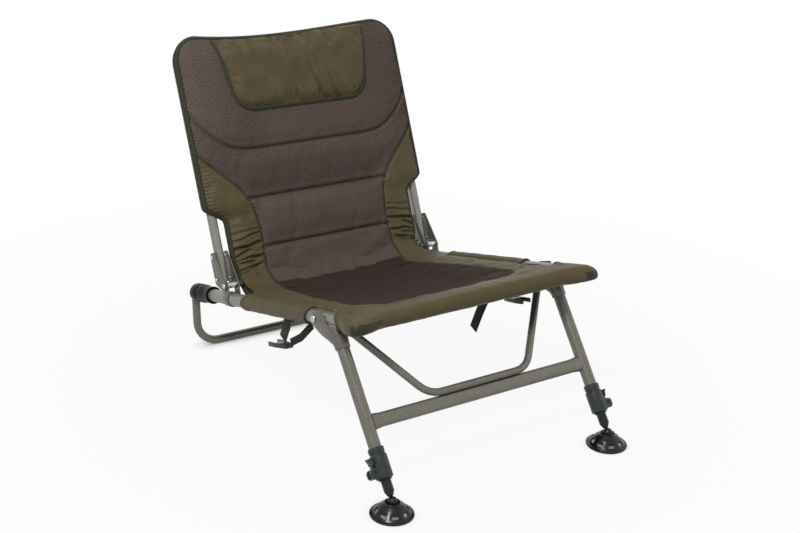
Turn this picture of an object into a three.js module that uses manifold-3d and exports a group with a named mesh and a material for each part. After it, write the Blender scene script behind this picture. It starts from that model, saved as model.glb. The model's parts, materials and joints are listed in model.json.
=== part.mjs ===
// Carp fishing chair: a sling seat on a U-shaped frame, a reclining back, folding front legs with
// telescopic mud feet and a rear bar that slides out of the seat rails.
// Millimetres, +Z up, the front of the chair toward -Y. Left and right are the sitter's own.
import * as THREE from "three";
import { mergeVertices } from "three/addons/utils/BufferGeometryUtils.js";
import Module from "manifold-3d";

const wasm = await Module();
wasm.setup();
const { Manifold, Mesh: SolidMesh } = wasm;

const sides = { right: -1, left: 1 };
const { cos, sin, tan, hypot, min, max, abs, PI } = Math;
const radians = THREE.MathUtils.degToRad;

// Fits, cuts and facets
const fit = 0.3; // gap between pieces that touch
const overrun = 3; // how far a cut runs past a face
const weld = 1e-4; // corners closer than this are one
const tubeSides = 16;
const boreSides = 8; // inside of a tube that holds nothing
const slimSides = 12; // brace and rear bar
const latheSides = 20;
const boltSides = 8;
const boltNutShare = 1.8; // nut, head and their height against the shank's radius
const boltHeadShare = 1.75;
const boltRiseShare = 0.9;
const fullRoundShare = 0.999; // just short of a half, so that two rounds never meet
const bendSteps = 4;
const cornerSteps = 3;

// Seat rails: one tube bent into a U, open at the rear
const railSpacing = 470;
const railRadius = 12.5;
const railWall = 1.5;
const railLength = 484; // leg pivot to the open rear end
const frontBarReach = 123; // leg pivot to the axis of the front bar
const railCornerRadius = 38;
const hingeAhead = 143; // open rear end forward to the recliner's hinge
const hingeBack = railLength - hingeAhead;

// Seat cover: sleeves round the rails and a sling between them
const sleeveRadius = 15.5;
const sleeveAhead = 56; // recliner's hinge forward to the rear end of the sleeves
const sleeveLength = hingeBack - sleeveAhead;
const slingAhead = 38;
const slingLength = hingeBack - slingAhead;
const slingThickness = 10;
const slingHemThickness = 5;
const slingEndInset = 24; // how far the sling draws in behind the sleeves
const slingEndTaper = 30;
const slingBed = 0.2; // how far the sling's top lies under the top of the sleeves
const borderFlat = 14; // level strip beside the rail
const borderFall = 7;
const meshReach = 75; // leg pivot to the front seam
const meshHalfFront = 170;
const meshHalfRear = 139;
const meshTaperStart = 60;
const sagDepth = 16;
const sagStart = 45;
const sagFadeStart = 150;
const sagRearShare = 0.55;
const seamWidth = 9;
const seamDepth = 3;
const flapReach = 31; // sewn corner beyond the tube's square corner
const flapRound = 13;
const flapSquareness = 8;
const flapHeightShares = [-1, -0.93, -0.5, -0.08, 0.42, 0.9, 1];
const flapRoundShares = [0, 1, 0.25, 0, 0.25, 1, 0];
const flapSteps = 6;
const slingRows = 5;
const slingColumns = 3.5;

// Openings of the cover round each leg bracket
const notchRear = 33;
const notchFront = 71;
const notchHeight = 18;
const notchDepth = 18;
const notchRake = 6;
const notchInner = 21.5; // inward reach from the rail axis

// Front legs, measured down the leg from its pivot and forward from the pivot
const legAngle = 22.6; // forward rake against the seat frame, degrees
const legOffset = 38.8; // leg axis ahead of the pivot
const legRadius = 11;
const legWall = 1.6;
const legTop = 36;
const legBottom = 262;
const pivotBoltRadius = 4;

// Swaged leg bracket
const bracketLength = 68.1;
const bracketWall = 2.5;
const bracketHalfWidth = 15.4;
const bracketSocketRadius = 13;
const bracketHeadRadius = 13;
const bracketRise = 2;
const bracketLipForward = 30;
const bracketShoulder = 33;
const bracketCornerSteps = 4;
const bracketFlareShares = [1, 0.85, 0.66, 0.44, 0.15];
const bracketWidthShares = [0, 0.17, 0.66, 1, 1];
const bracketBackShares = [0, 0.02, 0.24, 0.6, 1];
const bracketBackSpan = 45.8;
const bracketRoundShares = [1, 1, 0.9, 0.62, 0.46];
const bracketBellyShares = [0.3, 0.7]; // behind the socket and down the bracket
const bracketHeadShares = [1.02, 0.3, 0.55, 1.05]; // its two rear corners, in head radii
const bracketHeadRoundShare = 0.8;
const bracketLipShares = [2.5, 0.62]; // ahead of the lip and down its shoulder

// Crossbar and brace between the front legs
const crossbarDown = 199;
const crossbarHeight = 25;
const crossbarDepth = 13;
const crossbarFlare = 3; // weld flare at each leg
const crossbarFlareLength = 16;
const braceRadius = 6.75;
const braceHalfBase = 106;
const braceBend = 46;
const braceForward = 6.6; // ahead of the crossbar
const braceLugForward = 24;
const braceLugDown = 25;
const braceLugWall = 3;
const braceLugRadius = 9;
const braceNeckDown = 48; // where each round arm ends
const braceNeckInset = 36.5; // inboard of the rail axis
const braceLugFoot = 12; // lug's bolt to its neck
const braceLugNeckShare = 0.85;
const braceLugRoundShare = 0.9;
const braceBoltRadius = 3;

// Cam clamp at the end of each outer leg tube
const clampHold = 21; // how much of the outer leg the clamp covers
const clampTop = legBottom - clampHold;
const clampLength = 53;
const clampRadius = 15.2;
const clampRingRadius = 14;
const clampNeckRadius = 13;
const clampRingHeight = 10;
const clampLip = 1.5;
const cheekReach = 27;
const cheekHeight = 22;
const cheekThickness = 4;
const camPivotOut = 18.2;
const camPivotUp = 14; // above the clamp's lower end
const camRadius = 6.4;
const camWidth = 9.4;
const camPinRadius = 2.4;
const leverLength = 24;
const leverThickness = 3.6;
const leverWidth = 17;
const leverTipReach = 7;

// Telescopic inner leg, ball and mud foot
const innerLegRadius = 8.8;
const innerLegHold = 150; // how far it runs up inside the outer leg
const innerLegTop = legBottom - innerLegHold;
const innerLegReach = 22; // clamp's lower end to the shoulder
const innerLegShoulder = clampTop + clampLength + innerLegReach;
const innerLegTipRadius = 4.2;
const stopRingRadius = 11.6;
const stopRingHeight = 2.4;
const ballNeck = 17; // shoulder to the ball's centre
const ballDown = innerLegShoulder + ballNeck;
const ballRadius = 9;
const ballHeight = 24; // ball centre above the ground
const socketSteps = 4;
const footRadius = 37.6;
const footFlangeWidth = 6;
const footWall = 2.4;
const footHubRadius = 14;
const footConeRise = 16;
const footShoulderRadius = 22;
const footCrownRise = 4; // shoulder up to the hub
const footHubEdge = 1;
const footSides = 24;
const footWindows = 8;
const footWindowLength = 11;
const footWindowWidth = 5.5;

// Rear bar
const rearBarRadius = 8;
const rearBarWall = 1.4;
const rearBarInside = 180;
const rearBarReach = 20; // rail end to the bend behind it
const rearBarFootReach = 40; // rail end to the ground run
const rearBarTop = railLength + rearBarReach;
const rearBarFoot = railLength + rearBarFootReach;
const rearBarDrop = 109;
const rearBarBend = 18;
const rearBarCorner = 45;
const bushLength = 22;
const bushInset = 2;

// Twist collar on each rail end
const collarHold = 65; // how much of the rail the collar covers
const collarReach = 10; // rail end to the collar's rear face
const collarFront = railLength - collarHold;
const collarRear = railLength + collarReach;
const collarRadius = 18.4;
const collarNoseRadius = 16.2;
const collarLipRadius = 17.2;
const collarLip = 4;
const collarTaperStart = 22;
const collarTaperEnd = 34;
const collarGroove = 1.8;
const collarGrooveStart = 46;
const collarGrooveEnd = 50;
const collarExitRadius = 10.4;
const collarFlutes = 8;
const fluteSides = 6;
const collarFluteRadius = 2;
const collarFluteDepth = 1.1;

// Backrest, measured up the back and back from its hinge
const hingeUp = 27;
const backLean = 8.66; // degrees
const backInset = 3; // back tube's axis inboard of the rail's
const backHalfWidth = railSpacing / 2 - backInset;
const backTubeRadius = 9.25;
const backTubeWall = 1.4;
const backTubeBehind = 27.9;
const backTubeStart = 8;
const backTubeTop = 462.5;
const backTubeCorner = 40;

// Recliner hinge: saddle on the rail, plates on the back tube
const saddleLength = 20;
const saddleWall = 2;
const earWall = 2.5;
const earHalfGap = 10;
const earRadius = 9;
const plateWall = 2.5;
const plateHingeRadius = 9.5;
const plateTubeRadius = 8.5;
const plateBoltLow = 14;
const plateBoltHigh = 58;
const hingeBoltRadius = 3;
const spacerRadius = 6.5;
const plateBoltRadius = 2.6;
const nutCapRadius = 7;
const nutCapLength = 11;

// Back pad and headrest, measured like the backrest
const padFront = -8; // front face ahead of the hinge
const padBack = -24;
const padSleeveBack = -40;
const padEdgeRound = 14;
const padEdgeStartShare = 0.93;
const padSleeveStartShare = 0.86;
const padSleeveRampShare = 0.08;
const padRearEdgeShare = 0.96;
const padTop = 480.5;
const padDrop = 29;
const padHalfWidth = 250;
const padWaist = 212;
const padFoot = 198;
const padFootHeight = 14;
const padWaistStart = 40;
const padWaistEnd = 128;
const padSleeveStart = 152;
const padCorner = 50;
const padCurlStart = 30;
const padCurl = 30;
const padTopDip = 4;
const padCrown = 4;
const lowSeam = 59;
const highSeam = 156;
const sideSeamShare = 0.68;
const sideSeamSpread = 0.3;
const sideSeamEnd = 248;
const padCornerShares = [0.5, 0.97];
const padMiddleShares = [0.28, 0.55, 0.8];
const padSideShares = [0.3, 0.5, 0.7, 0.85];
const padSideLeastShares = [0, 0.86, 0.93, 0.965];
const padRowStep = 62;
const headrestTop = 478;
const headrestBottom = 325;
const headrestHalfTop = 171;
const headrestHalfBottom = 143;
const headrestCorner = 45;
const headrestFront = 9;
const headrestEdge = 10;
const headrestHem = 3; // how far its edge stands off the pad
const headrestSink = 4;
const headrestRowStep = 22;
const headrestEdgeShare = 0.2;
const headrestShares = [0.2, 0.5, 0.8, 0.95, 1];

// Tie straps under the rails
const webWidth = 22;
const webThickness = 1.6;
const strapInset = 7; // inboard of the rail axis
const webBend = 14;
const tabStart = { right: 140, left: 42 };
const tabDrop = { right: 44, left: 38 };
const tabRun = 25;
const buckleLength = 62;
const buckleWidth = 26;
const buckleThickness = 8;
const buckleClear = { right: 7.4, left: 8.3 }; // sewn end of the tab above the buckle
const buckleProngLength = 26;
const buckleProngWidth = 5;
const leadRun = 95;
const leadRise = 41.3;
const leadWidth = 14;
const leadLift = 8;
const tailStart = 125;
const tailRun = 88;
const tailDrop = 125;
const tailRunShares = [0.28, 0.74, 1];
const tailDropShares = [0.35, 0.75, 1];
const tailBend = 60;

// Finishes: colour, roughness and metalness
const finishes = {
  frame: new THREE.MeshStandardMaterial({ color: 0x5c5c50, roughness: 0.38, metalness: 0.5 }),
  steel: new THREE.MeshStandardMaterial({ color: 0xb9bab8, roughness: 0.25, metalness: 1 }),
  plastic: new THREE.MeshStandardMaterial({ color: 0x282c2e, roughness: 0.5, metalness: 0 }),
  nylon: new THREE.MeshStandardMaterial({ color: 0x5b5440, roughness: 0.85, metalness: 0 }),
  webbing: new THREE.MeshStandardMaterial({ color: 0x201e1c, roughness: 0.8, metalness: 0 }),
  greenWebbing: new THREE.MeshStandardMaterial({ color: 0x3f4033, roughness: 0.8, metalness: 0 }),
};

// Small sums
const at = (x, y, z) => new THREE.Vector3(x, y, z);
const share = (value, from, to) => min(1, max(0, (value - from) / (to - from)));
const ease = (value, from, to) => {
  const t = share(value, from, to);
  return t * t * (3 - 2 * t);
};
const mix = (a, b, t) => a + (b - a) * t;
// The radius whose flats, on a polygon with so many sides, clear a round piece of this radius.
const around = (radius, count = tubeSides) => (radius + fit) / cos(PI / count);

// Solids from three.js geometry and back

// The closed geometry as a solid: corners are welded, slivers dropped, faces turned outward.
function solid(geometry) {
  const loose = geometry.index ? geometry.toNonIndexed() : geometry;
  const bare = new THREE.BufferGeometry();
  bare.setAttribute("position", loose.getAttribute("position"));
  const welded = mergeVertices(bare, weld);
  const place = welded.getAttribute("position");
  const index = welded.index.array;
  const corner = (i) => new THREE.Vector3().fromBufferAttribute(place, i);
  const faces = [];
  let volume = 0;
  for (let i = 0; i < index.length; i += 3) {
    const [a, b, c] = [index[i], index[i + 1], index[i + 2]];
    if (a === b || b === c || c === a) continue;
    faces.push([a, b, c]);
    volume += corner(a).dot(corner(b).cross(corner(c)));
  }
  const outward = volume < 0 ? faces.map(([a, b, c]) => [a, c, b]) : faces;
  return new Manifold(
    new SolidMesh({
      numProp: 3,
      vertProperties: new Float32Array(place.array),
      triVerts: new Uint32Array(outward.flat()),
    }),
  );
}

// The solid as three.js geometry with flat-shaded faces.
function geometryOf(body) {
  const mesh = body.getMesh();
  const indexed = new THREE.BufferGeometry();
  indexed.setAttribute("position", new THREE.BufferAttribute(new Float32Array(mesh.vertProperties), 3));
  indexed.setIndex(new THREE.BufferAttribute(new Uint32Array(mesh.triVerts), 1));
  const flat = indexed.toNonIndexed();
  flat.computeVertexNormals();
  return flat;
}

const moved = (body, x, y, z) => body.translate([x, y, z]);

function joined(bodies) {
  return bodies.reduce((whole, body) => whole.add(body));
}

// A mesh of the body, named and added to its group.
function piece(group, name, finish, body) {
  const mesh = new THREE.Mesh(geometryOf(body), finish);
  mesh.name = name;
  group.add(mesh);
  return mesh;
}

// Routes and tubes

// A path through given stations with a given direction at each, so that a tube's rings stand
// exactly on its bends. A fixed side keeps a flat section from turning.
class Route extends THREE.Curve {
  constructor(points, directions, side = null) {
    super();
    this.points = points;
    this.directions = directions;
    this.side = side;
  }
  station(t) {
    return Math.round(t * (this.points.length - 1));
  }
  getPoint(t, target = new THREE.Vector3()) {
    return target.copy(this.points[this.station(t)]);
  }
  getPointAt(t, target) {
    return this.getPoint(t, target);
  }
  getTangent(t, target = new THREE.Vector3()) {
    return target.copy(this.directions[this.station(t)]);
  }
  getTangentAt(t, target) {
    return this.getTangent(t, target);
  }
  computeFrenetFrames(segments, closed) {
    if (!this.side) return super.computeFrenetFrames(segments, closed);
    const binormals = this.directions.map(() => this.side.clone());
    const normals = this.directions.map((d) => new THREE.Vector3().crossVectors(this.side, d));
    return { tangents: this.directions, normals, binormals };
  }
}

// A route along straight runs; each inner corner [point, radius] is an arc.
function bentRoute(corners, side = null) {
  const points = [];
  const directions = [];
  const station = (point, direction) => {
    points.push(point);
    directions.push(direction);
  };
  const toward = (i) => corners[i + 1][0].clone().sub(corners[i][0]).normalize();
  station(corners[0][0].clone(), toward(0));
  for (let i = 1; i < corners.length - 1; i += 1) {
    const [corner, radius] = corners[i];
    const before = toward(i - 1);
    const after = toward(i);
    const turn = before.angleTo(after);
    const inward = after.clone().addScaledVector(before, -cos(turn)).normalize();
    const start = corner.clone().addScaledVector(before, -radius * tan(turn / 2));
    for (let k = 0; k <= bendSteps; k += 1) {
      const angle = (turn * k) / bendSteps;
      const point = start.clone().addScaledVector(before, radius * sin(angle));
      point.addScaledVector(inward, radius * (1 - cos(angle)));
      const direction = before.clone().multiplyScalar(cos(angle));
      station(point, direction.addScaledVector(inward, sin(angle)));
    }
  }
  station(corners.at(-1)[0].clone(), toward(corners.length - 2));
  return new Route(points, directions, side);
}

function swept(section, route, curveSegments = tubeSides / 2) {
  const steps = route.points.length - 1;
  const options = { extrudePath: route, steps, curveSegments, bevelEnabled: false };
  return solid(new THREE.ExtrudeGeometry(section, options));
}

function tube(route, radius, bore = 0, count = tubeSides, boreCount = count) {
  const section = new THREE.Shape();
  section.absarc(0, 0, radius, 0, 2 * PI);
  if (bore > 0) {
    const ring = new THREE.Path().absarc(0, 0, bore, 0, 2 * PI, true).getPoints(boreCount / 2);
    section.holes.push(new THREE.Path(ring.slice(0, -1)));
  }
  return swept(section, route, count / 2);
}

const straight = (from, to) => bentRoute([[from], [to]]);

// A round bar along x between two places.
const barX = (x0, x1, y, z, radius, bore = 0, count = tubeSides) =>
  tube(straight(at(x0, y, z), at(x1, y, z)), radius, bore, count);

// A turned piece on the z axis from its outline of [radius, height] points.
function turned(outline, count = latheSides) {
  const profile = outline.map(([r, h]) => new THREE.Vector2(r, h));
  return solid(new THREE.LatheGeometry(profile, count).rotateX(PI / 2));
}

// A closed outline with rounded corners from [x, y, radius] corners.
function rounded(corners, steps = cornerSteps) {
  const outline = [];
  corners.forEach(([x, y, radius = 0], i) => {
    const here = new THREE.Vector2(x, y);
    const last = corners.at(i - 1);
    const next = corners[(i + 1) % corners.length];
    const before = here.clone().sub(new THREE.Vector2(last[0], last[1])).normalize();
    const after = new THREE.Vector2(next[0], next[1]).sub(here).normalize();
    if (radius === 0) {
      outline.push(here);
      return;
    }
    const turn = Math.acos(min(1, max(-1, before.dot(after))));
    const inward = after.clone().addScaledVector(before, -cos(turn)).normalize();
    const start = here.clone().addScaledVector(before, -radius * tan(turn / 2));
    for (let k = 0; k <= steps; k += 1) {
      const angle = (turn * k) / steps;
      const point = start.clone().addScaledVector(before, radius * sin(angle));
      outline.push(point.addScaledVector(inward, radius * (1 - cos(angle))));
    }
  });
  return outline;
}

// A plate between two places on x from an outline of (y, z) points.
function plateX(outline, x0, x1) {
  const low = min(x0, x1);
  const options = { depth: abs(x1 - x0), bevelEnabled: false };
  const geometry = new THREE.ExtrudeGeometry(new THREE.Shape(outline), options);
  const turn = new THREE.Matrix4().makeBasis(at(0, 1, 0), at(0, 0, 1), at(1, 0, 0));
  return moved(solid(geometry.applyMatrix4(turn)), low, 0, 0);
}

// A plate between two heights from an outline of (x, y) points.
function plateZ(outline, z0, z1) {
  const options = { depth: z1 - z0, bevelEnabled: false };
  return moved(solid(new THREE.ExtrudeGeometry(new THREE.Shape(outline), options)), 0, 0, z0);
}

function block(x0, x1, y0, y1, z0, z1) {
  const box = solid(new THREE.BoxGeometry(abs(x1 - x0), abs(y1 - y0), abs(z1 - z0)));
  return moved(box, (x0 + x1) / 2, (y0 + y1) / 2, (z0 + z1) / 2);
}

function closedGeometry(triangles) {
  const geometry = new THREE.BufferGeometry();
  const places = triangles.flatMap((p) => [p.x, p.y, p.z]);
  geometry.setAttribute("position", new THREE.Float32BufferAttribute(places, 3));
  return geometry;
}

// A skin over convex sections with the same count of points, closed at both ends.
function loft(sections) {
  const triangles = [];
  const count = sections[0].length;
  for (let s = 1; s < sections.length; s += 1) {
    for (let i = 0; i < count; i += 1) {
      const j = (i + 1) % count;
      const [a, b, c, d] = [sections[s - 1][i], sections[s - 1][j], sections[s][j], sections[s][i]];
      triangles.push(a, b, c, a, c, d);
    }
  }
  const [first, last] = [sections[0], sections.at(-1)];
  for (let i = 1; i < count - 1; i += 1) {
    triangles.push(first[0], first[i + 1], first[i]);
    triangles.push(last[0], last[i], last[i + 1]);
  }
  return solid(closedGeometry(triangles));
}

// A padded sheet: two grids of points, face and back, closed round the edge.
function padded(face, back) {
  const triangles = [];
  const quad = (a, b, c, d) => triangles.push(a, b, c, a, c, d);
  const rows = face.length;
  const columns = face[0].length;
  for (let r = 1; r < rows; r += 1) {
    for (let c = 1; c < columns; c += 1) {
      quad(face[r - 1][c - 1], face[r - 1][c], face[r][c], face[r][c - 1]);
      quad(back[r - 1][c - 1], back[r][c - 1], back[r][c], back[r - 1][c]);
    }
    quad(face[r - 1][0], face[r][0], back[r][0], back[r - 1][0]);
    quad(face[r][columns - 1], face[r - 1][columns - 1], back[r - 1][columns - 1], back[r][columns - 1]);
  }
  for (let c = 1; c < columns; c += 1) {
    quad(face[0][c], face[0][c - 1], back[0][c - 1], back[0][c]);
    quad(face[rows - 1][c - 1], face[rows - 1][c], back[rows - 1][c], back[rows - 1][c - 1]);
  }
  return solid(closedGeometry(triangles));
}

// Places between ascending marks, no further apart than the step.
function stations(marks, step) {
  const places = [marks[0]];
  for (let i = 1; i < marks.length; i += 1) {
    const parts = Math.ceil((marks[i] - marks[i - 1]) / step);
    for (let k = 1; k <= parts; k += 1) places.push(mix(marks[i - 1], marks[i], k / parts));
  }
  return places;
}

// A bolt along x from its inner end to its outer end: nut, shank and domed head.
function bolt(inner, outer, radius, y, z) {
  const nut = boltNutShare * radius;
  const head = boltHeadShare * radius;
  const rise = boltRiseShare * radius;
  const grip = abs(outer - inner);
  const outline = [
    [0, -rise],
    [nut, -rise],
    [nut, -fit],
    [radius, -fit],
    [radius, grip + fit],
    [head, grip + fit],
    [head, grip + rise / 2],
    [head * cos(PI / 4), grip + rise],
    [0, grip + rise],
  ];
  const outward = outer > inner ? PI / 2 : -PI / 2;
  const geometry = new THREE.LatheGeometry(outline.map(([r, h]) => new THREE.Vector2(r, h)), boltSides);
  geometry.rotateX(PI / 2);
  geometry.rotateY(outward);
  return moved(solid(geometry), inner, y, z);
}

// Frames: the chair stands tilted on its feet, each mechanism hangs in its own group.
const half = railSpacing / 2;
const rake = radians(legAngle);
const lean = radians(backLean);

// A place given down the leg and forward of it, in the seat frame's y and z.
const onLeg = (down, forward) => [
  -down * sin(rake) - forward * cos(rake),
  -down * cos(rake) + forward * sin(rake),
];
const [ballY, ballZ] = onLeg(ballDown, legOffset);
const wheelbase = hypot(rearBarFoot - ballY, -rearBarDrop - ballZ);
const rise = Math.atan2(-rearBarDrop - ballZ, rearBarFoot - ballY);
const tilt = Math.asin((ballHeight - rearBarRadius) / wheelbase) + rise;

const chair = new THREE.Group();
chair.name = "chair";
const seat = new THREE.Group();
seat.name = "seat";
seat.rotation.x = -tilt;
chair.add(seat);
const legs = new THREE.Group();
legs.name = "legs";
legs.rotation.x = -rake;
seat.add(legs);
const backrest = new THREE.Group();
backrest.name = "backrest";
backrest.position.set(0, hingeBack, hingeUp);
backrest.rotation.x = -lean;
seat.add(backrest);

// Seat frame

const railRoute = (reach) =>
  bentRoute([
    [at(-half, reach, 0)],
    [at(-half, -frontBarReach, 0), railCornerRadius],
    [at(half, -frontBarReach, 0), railCornerRadius],
    [at(half, reach, 0)],
  ]);

function seatFrameTube() {
  const rails = tube(railRoute(railLength), railRadius, railRadius - railWall);
  const bore = barX(-railSpacing, railSpacing, 0, 0, around(pivotBoltRadius, boltSides), 0, boltSides);
  return rails.subtract(bore);
}

// Half the width of the mesh panel at a place along the seat.
const meshHalf = (y) => mix(meshHalfFront, meshHalfRear, share(y, meshTaperStart, slingLength));

// Half the width of the sling: it ends in the sleeves and draws in behind them.
const slingHalf = (y) => half - slingEndInset * share(y, slingLength - slingEndTaper, slingLength);

// The sling's top: level beside the tube, falling over the border, sagging across the mesh.
function slingFall(x, y) {
  const sideways = ease(half - borderFlat - abs(x), 0, half - borderFlat - meshHalf(y));
  return min(sideways, ease(y, -frontBarReach, -meshReach));
}

function slingTop(x, y) {
  const across = 1 - min(1, abs(x) / meshHalf(y)) ** 2;
  const rearFade = 1 - sagRearShare * ease(y, sagFadeStart, slingLength);
  const along = ease(y, -meshReach, sagStart) * rearFade;
  return sleeveRadius - slingBed - borderFall * slingFall(x, y) - sagDepth * across * along;
}

function sling() {
  const seam = seamWidth / 2;
  const rowMarks = [-frontBarReach, -meshReach - seam, -meshReach, -meshReach + seam, slingLength];
  const rows = stations(rowMarks, slingLength / slingRows);
  const face = [];
  const back = [];
  for (const y of rows) {
    const panel = meshHalf(y);
    const halfMarks = [0, panel - seam, panel, panel + seam, slingHalf(y)];
    const inner = stations(halfMarks.slice(0, 2), panel / slingColumns);
    const outer = stations(halfMarks.slice(3), (slingHalf(y) - panel) / 2);
    const halfRow = [...inner, panel, ...outer];
    const row = [...halfRow.slice(1).reverse().map((x) => -x), ...halfRow];
    const seamed = (x) => y >= -meshReach && abs(abs(x) - panel) < seam / 2;
    const crossSeam = (x) => abs(y + meshReach) < seam / 2 && abs(x) <= panel;
    const depth = (x) => (seamed(x) || crossSeam(x) ? seamDepth : 0);
    face.push(row.map((x) => at(x, y, slingTop(x, y) - depth(x))));
    const thickness = (x) => mix(slingHemThickness, slingThickness, slingFall(x, y));
    back.push(row.map((x) => at(x, y, slingTop(x, y) - thickness(x))));
  }
  const corner = railCornerRadius;
  const outline = rounded([
    [-half, slingLength + overrun],
    [-half, -frontBarReach, corner],
    [half, -frontBarReach, corner],
    [half, slingLength + overrun],
  ]);
  return padded(face, back).intersect(plateZ(outline, -railSpacing, railSpacing));
}

// The sewn corner of the cover: a full pocket that stands out past the bend of the front bar.
function cornerFlap(side) {
  const centreX = half - railCornerRadius;
  const centreY = -frontBarReach + railCornerRadius;
  const sections = [];
  for (let k = 0; k <= flapSteps; k += 1) {
    const angle = (PI / 2) * (k / flapSteps);
    const extent = railCornerRadius + mix(sleeveRadius * cos(PI / 8), flapReach, sin(2 * angle));
    const squared = cos(angle) ** flapSquareness + sin(angle) ** flapSquareness;
    const tip = extent / squared ** (1 / flapSquareness);
    const profile = flapHeightShares.map((heightShare, i) => [
      i === 0 || i === flapHeightShares.length - 1 ? railCornerRadius : tip - flapRound * flapRoundShares[i],
      (sleeveRadius - slingBed) * heightShare,
    ]);
    const place = ([r, z]) => at(side * (centreX + r * cos(angle)), centreY - r * sin(angle), z);
    sections.push(profile.map(place));
  }
  return loft(sections);
}

// The opening of the cover round one leg bracket.
function coverNotch(side) {
  const outside = [
    new THREE.Vector2(notchRear - notchRake, notchHeight),
    new THREE.Vector2(notchRear, notchRake),
    new THREE.Vector2(notchRear + notchRake, -notchDepth),
    new THREE.Vector2(-notchFront + notchRake / 2, -notchDepth),
    new THREE.Vector2(-notchFront, 0),
    new THREE.Vector2(-notchFront + 2 * notchRake, notchHeight),
  ];
  return plateX(outside, side * (half - notchInner), side * (half + sleeveRadius + overrun));
}

function seatCover() {
  const sleeve = tube(railRoute(sleeveLength), sleeveRadius);
  const tunnel = tube(railRoute(railLength), around(railRadius));
  const body = joined([sleeve, sling(), cornerFlap(-1), cornerFlap(1)]);
  return body.subtract(joined([tunnel, coverNotch(-1), coverNotch(1)]));
}

// Recliner saddle: a band round the rail with two ears up to the hinge.
function hingeSaddle(side) {
  const y0 = hingeBack - saddleLength / 2;
  const y1 = hingeBack + saddleLength / 2;
  const x = side * half;
  const centre = side * backHalfWidth;
  const band = tube(straight(at(x, y0, 0), at(x, y1, 0)), railRadius + fit + saddleWall);
  const outline = rounded([
    [y0, 0],
    [y1, 0],
    [hingeBack + earRadius, hingeUp + earRadius, earRadius - fit],
    [hingeBack - earRadius, hingeUp + earRadius, earRadius - fit],
  ]);
  const ear = (direction) =>
    plateX(outline, centre + direction * earHalfGap, centre + direction * (earHalfGap + earWall));
  const tunnel = tube(straight(at(x, y0 - overrun, 0), at(x, y1 + overrun, 0)), around(railRadius));
  const hole = around(hingeBoltRadius, boltSides);
  const reach = earHalfGap + earWall + overrun;
  const bore = barX(centre - reach, centre + reach, hingeBack, hingeUp, hole, 0, boltSides);
  return joined([band, ear(-1), ear(1)]).subtract(tunnel).subtract(bore);
}

function hingeSpacer(side) {
  const x = side * backHalfWidth;
  const reach = earHalfGap - fit;
  const bore = around(hingeBoltRadius, boltSides);
  return barX(x - reach, x + reach, hingeBack, hingeUp, spacerRadius, bore, boltSides);
}

// The lined guide inside each rail end that the rear bar runs in.
function railBush(side) {
  const end = railLength - bushInset;
  const route = straight(at(side * half, end - bushLength, 0), at(side * half, end, 0));
  return tube(route, railRadius - railWall - fit, around(rearBarRadius, slimSides), slimSides);
}

// Tie straps: a sewn tab and buckle, and a lead or a hanging tail of black webbing
const strapX = (side) => side * (half - strapInset);

function webbing(corners, side, width = webWidth) {
  const section = new THREE.Shape(
    rounded([
      [-width / 2, -webThickness / 2],
      [width / 2, -webThickness / 2],
      [width / 2, webThickness / 2],
      [-width / 2, webThickness / 2],
    ]),
  );
  const places = corners.map(([y, z, radius]) => [at(strapX(side), y, z), radius]);
  return swept(section, bentRoute(places, at(1, 0, 0)));
}

const strapTop = -Math.sqrt(sleeveRadius ** 2 - strapInset ** 2) - webThickness / 2;
const buckleMiddle = (name) => strapTop - tabDrop[name] - buckleClear[name] - buckleThickness / 2;

// The sewn tab that holds a buckle: it leaves the sleeve straight down and leans back.
function tieTab(name) {
  const start = tabStart[name];
  return webbing(
    [
      [start, strapTop],
      [start, strapTop - webBend, webBend],
      [start + tabRun, strapTop - tabDrop[name]],
    ],
    sides[name],
  );
}

// The right strap's lead: from the buckle forward to the rail behind the leg.
function tieLead() {
  const start = tabStart.right + tabRun - webWidth - fit;
  const z = buckleMiddle("right") + leadLift;
  return webbing(
    [
      [start - leadLift, z],
      [start - leadRun / 2, z + leadRise / 3, webWidth],
      [start - leadRun, z + leadRise],
    ],
    sides.right,
    leadWidth,
  );
}

// The left strap's tail: it hangs free from the sleeve and curls back.
function tieTail() {
  const hang = tailRunShares.map((runShare, i) => {
    const bend = i === tailRunShares.length - 1 ? 0 : tailBend;
    return [tailStart + tailRun * runShare, strapTop - tailDrop * tailDropShares[i], bend];
  });
  return webbing([[tailStart, strapTop], [tailStart, strapTop - webBend, webBend], ...hang], sides.left);
}

// The plug half of a side-release buckle: a body and its prongs, pointing one way along the rail.
function buckle(name, start, direction) {
  const x = strapX(sides[name]);
  const middle = buckleMiddle(name);
  const wide = buckleWidth / 2;
  const slim = wide - buckleProngWidth;
  const body = buckleLength - buckleProngLength;
  const tip = buckleLength - buckleProngWidth;
  const outline = [
    [slim, 0],
    [wide, body],
    [wide, tip],
    [slim, buckleLength],
    [slim, body],
    [-slim, body],
    [-slim, buckleLength],
    [-wide, tip],
    [-wide, body],
    [-slim, 0],
  ].map(([across, along]) => new THREE.Vector2(x + across, start + direction * along));
  return plateZ(outline, middle - buckleThickness / 2, middle + buckleThickness / 2);
}

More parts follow.
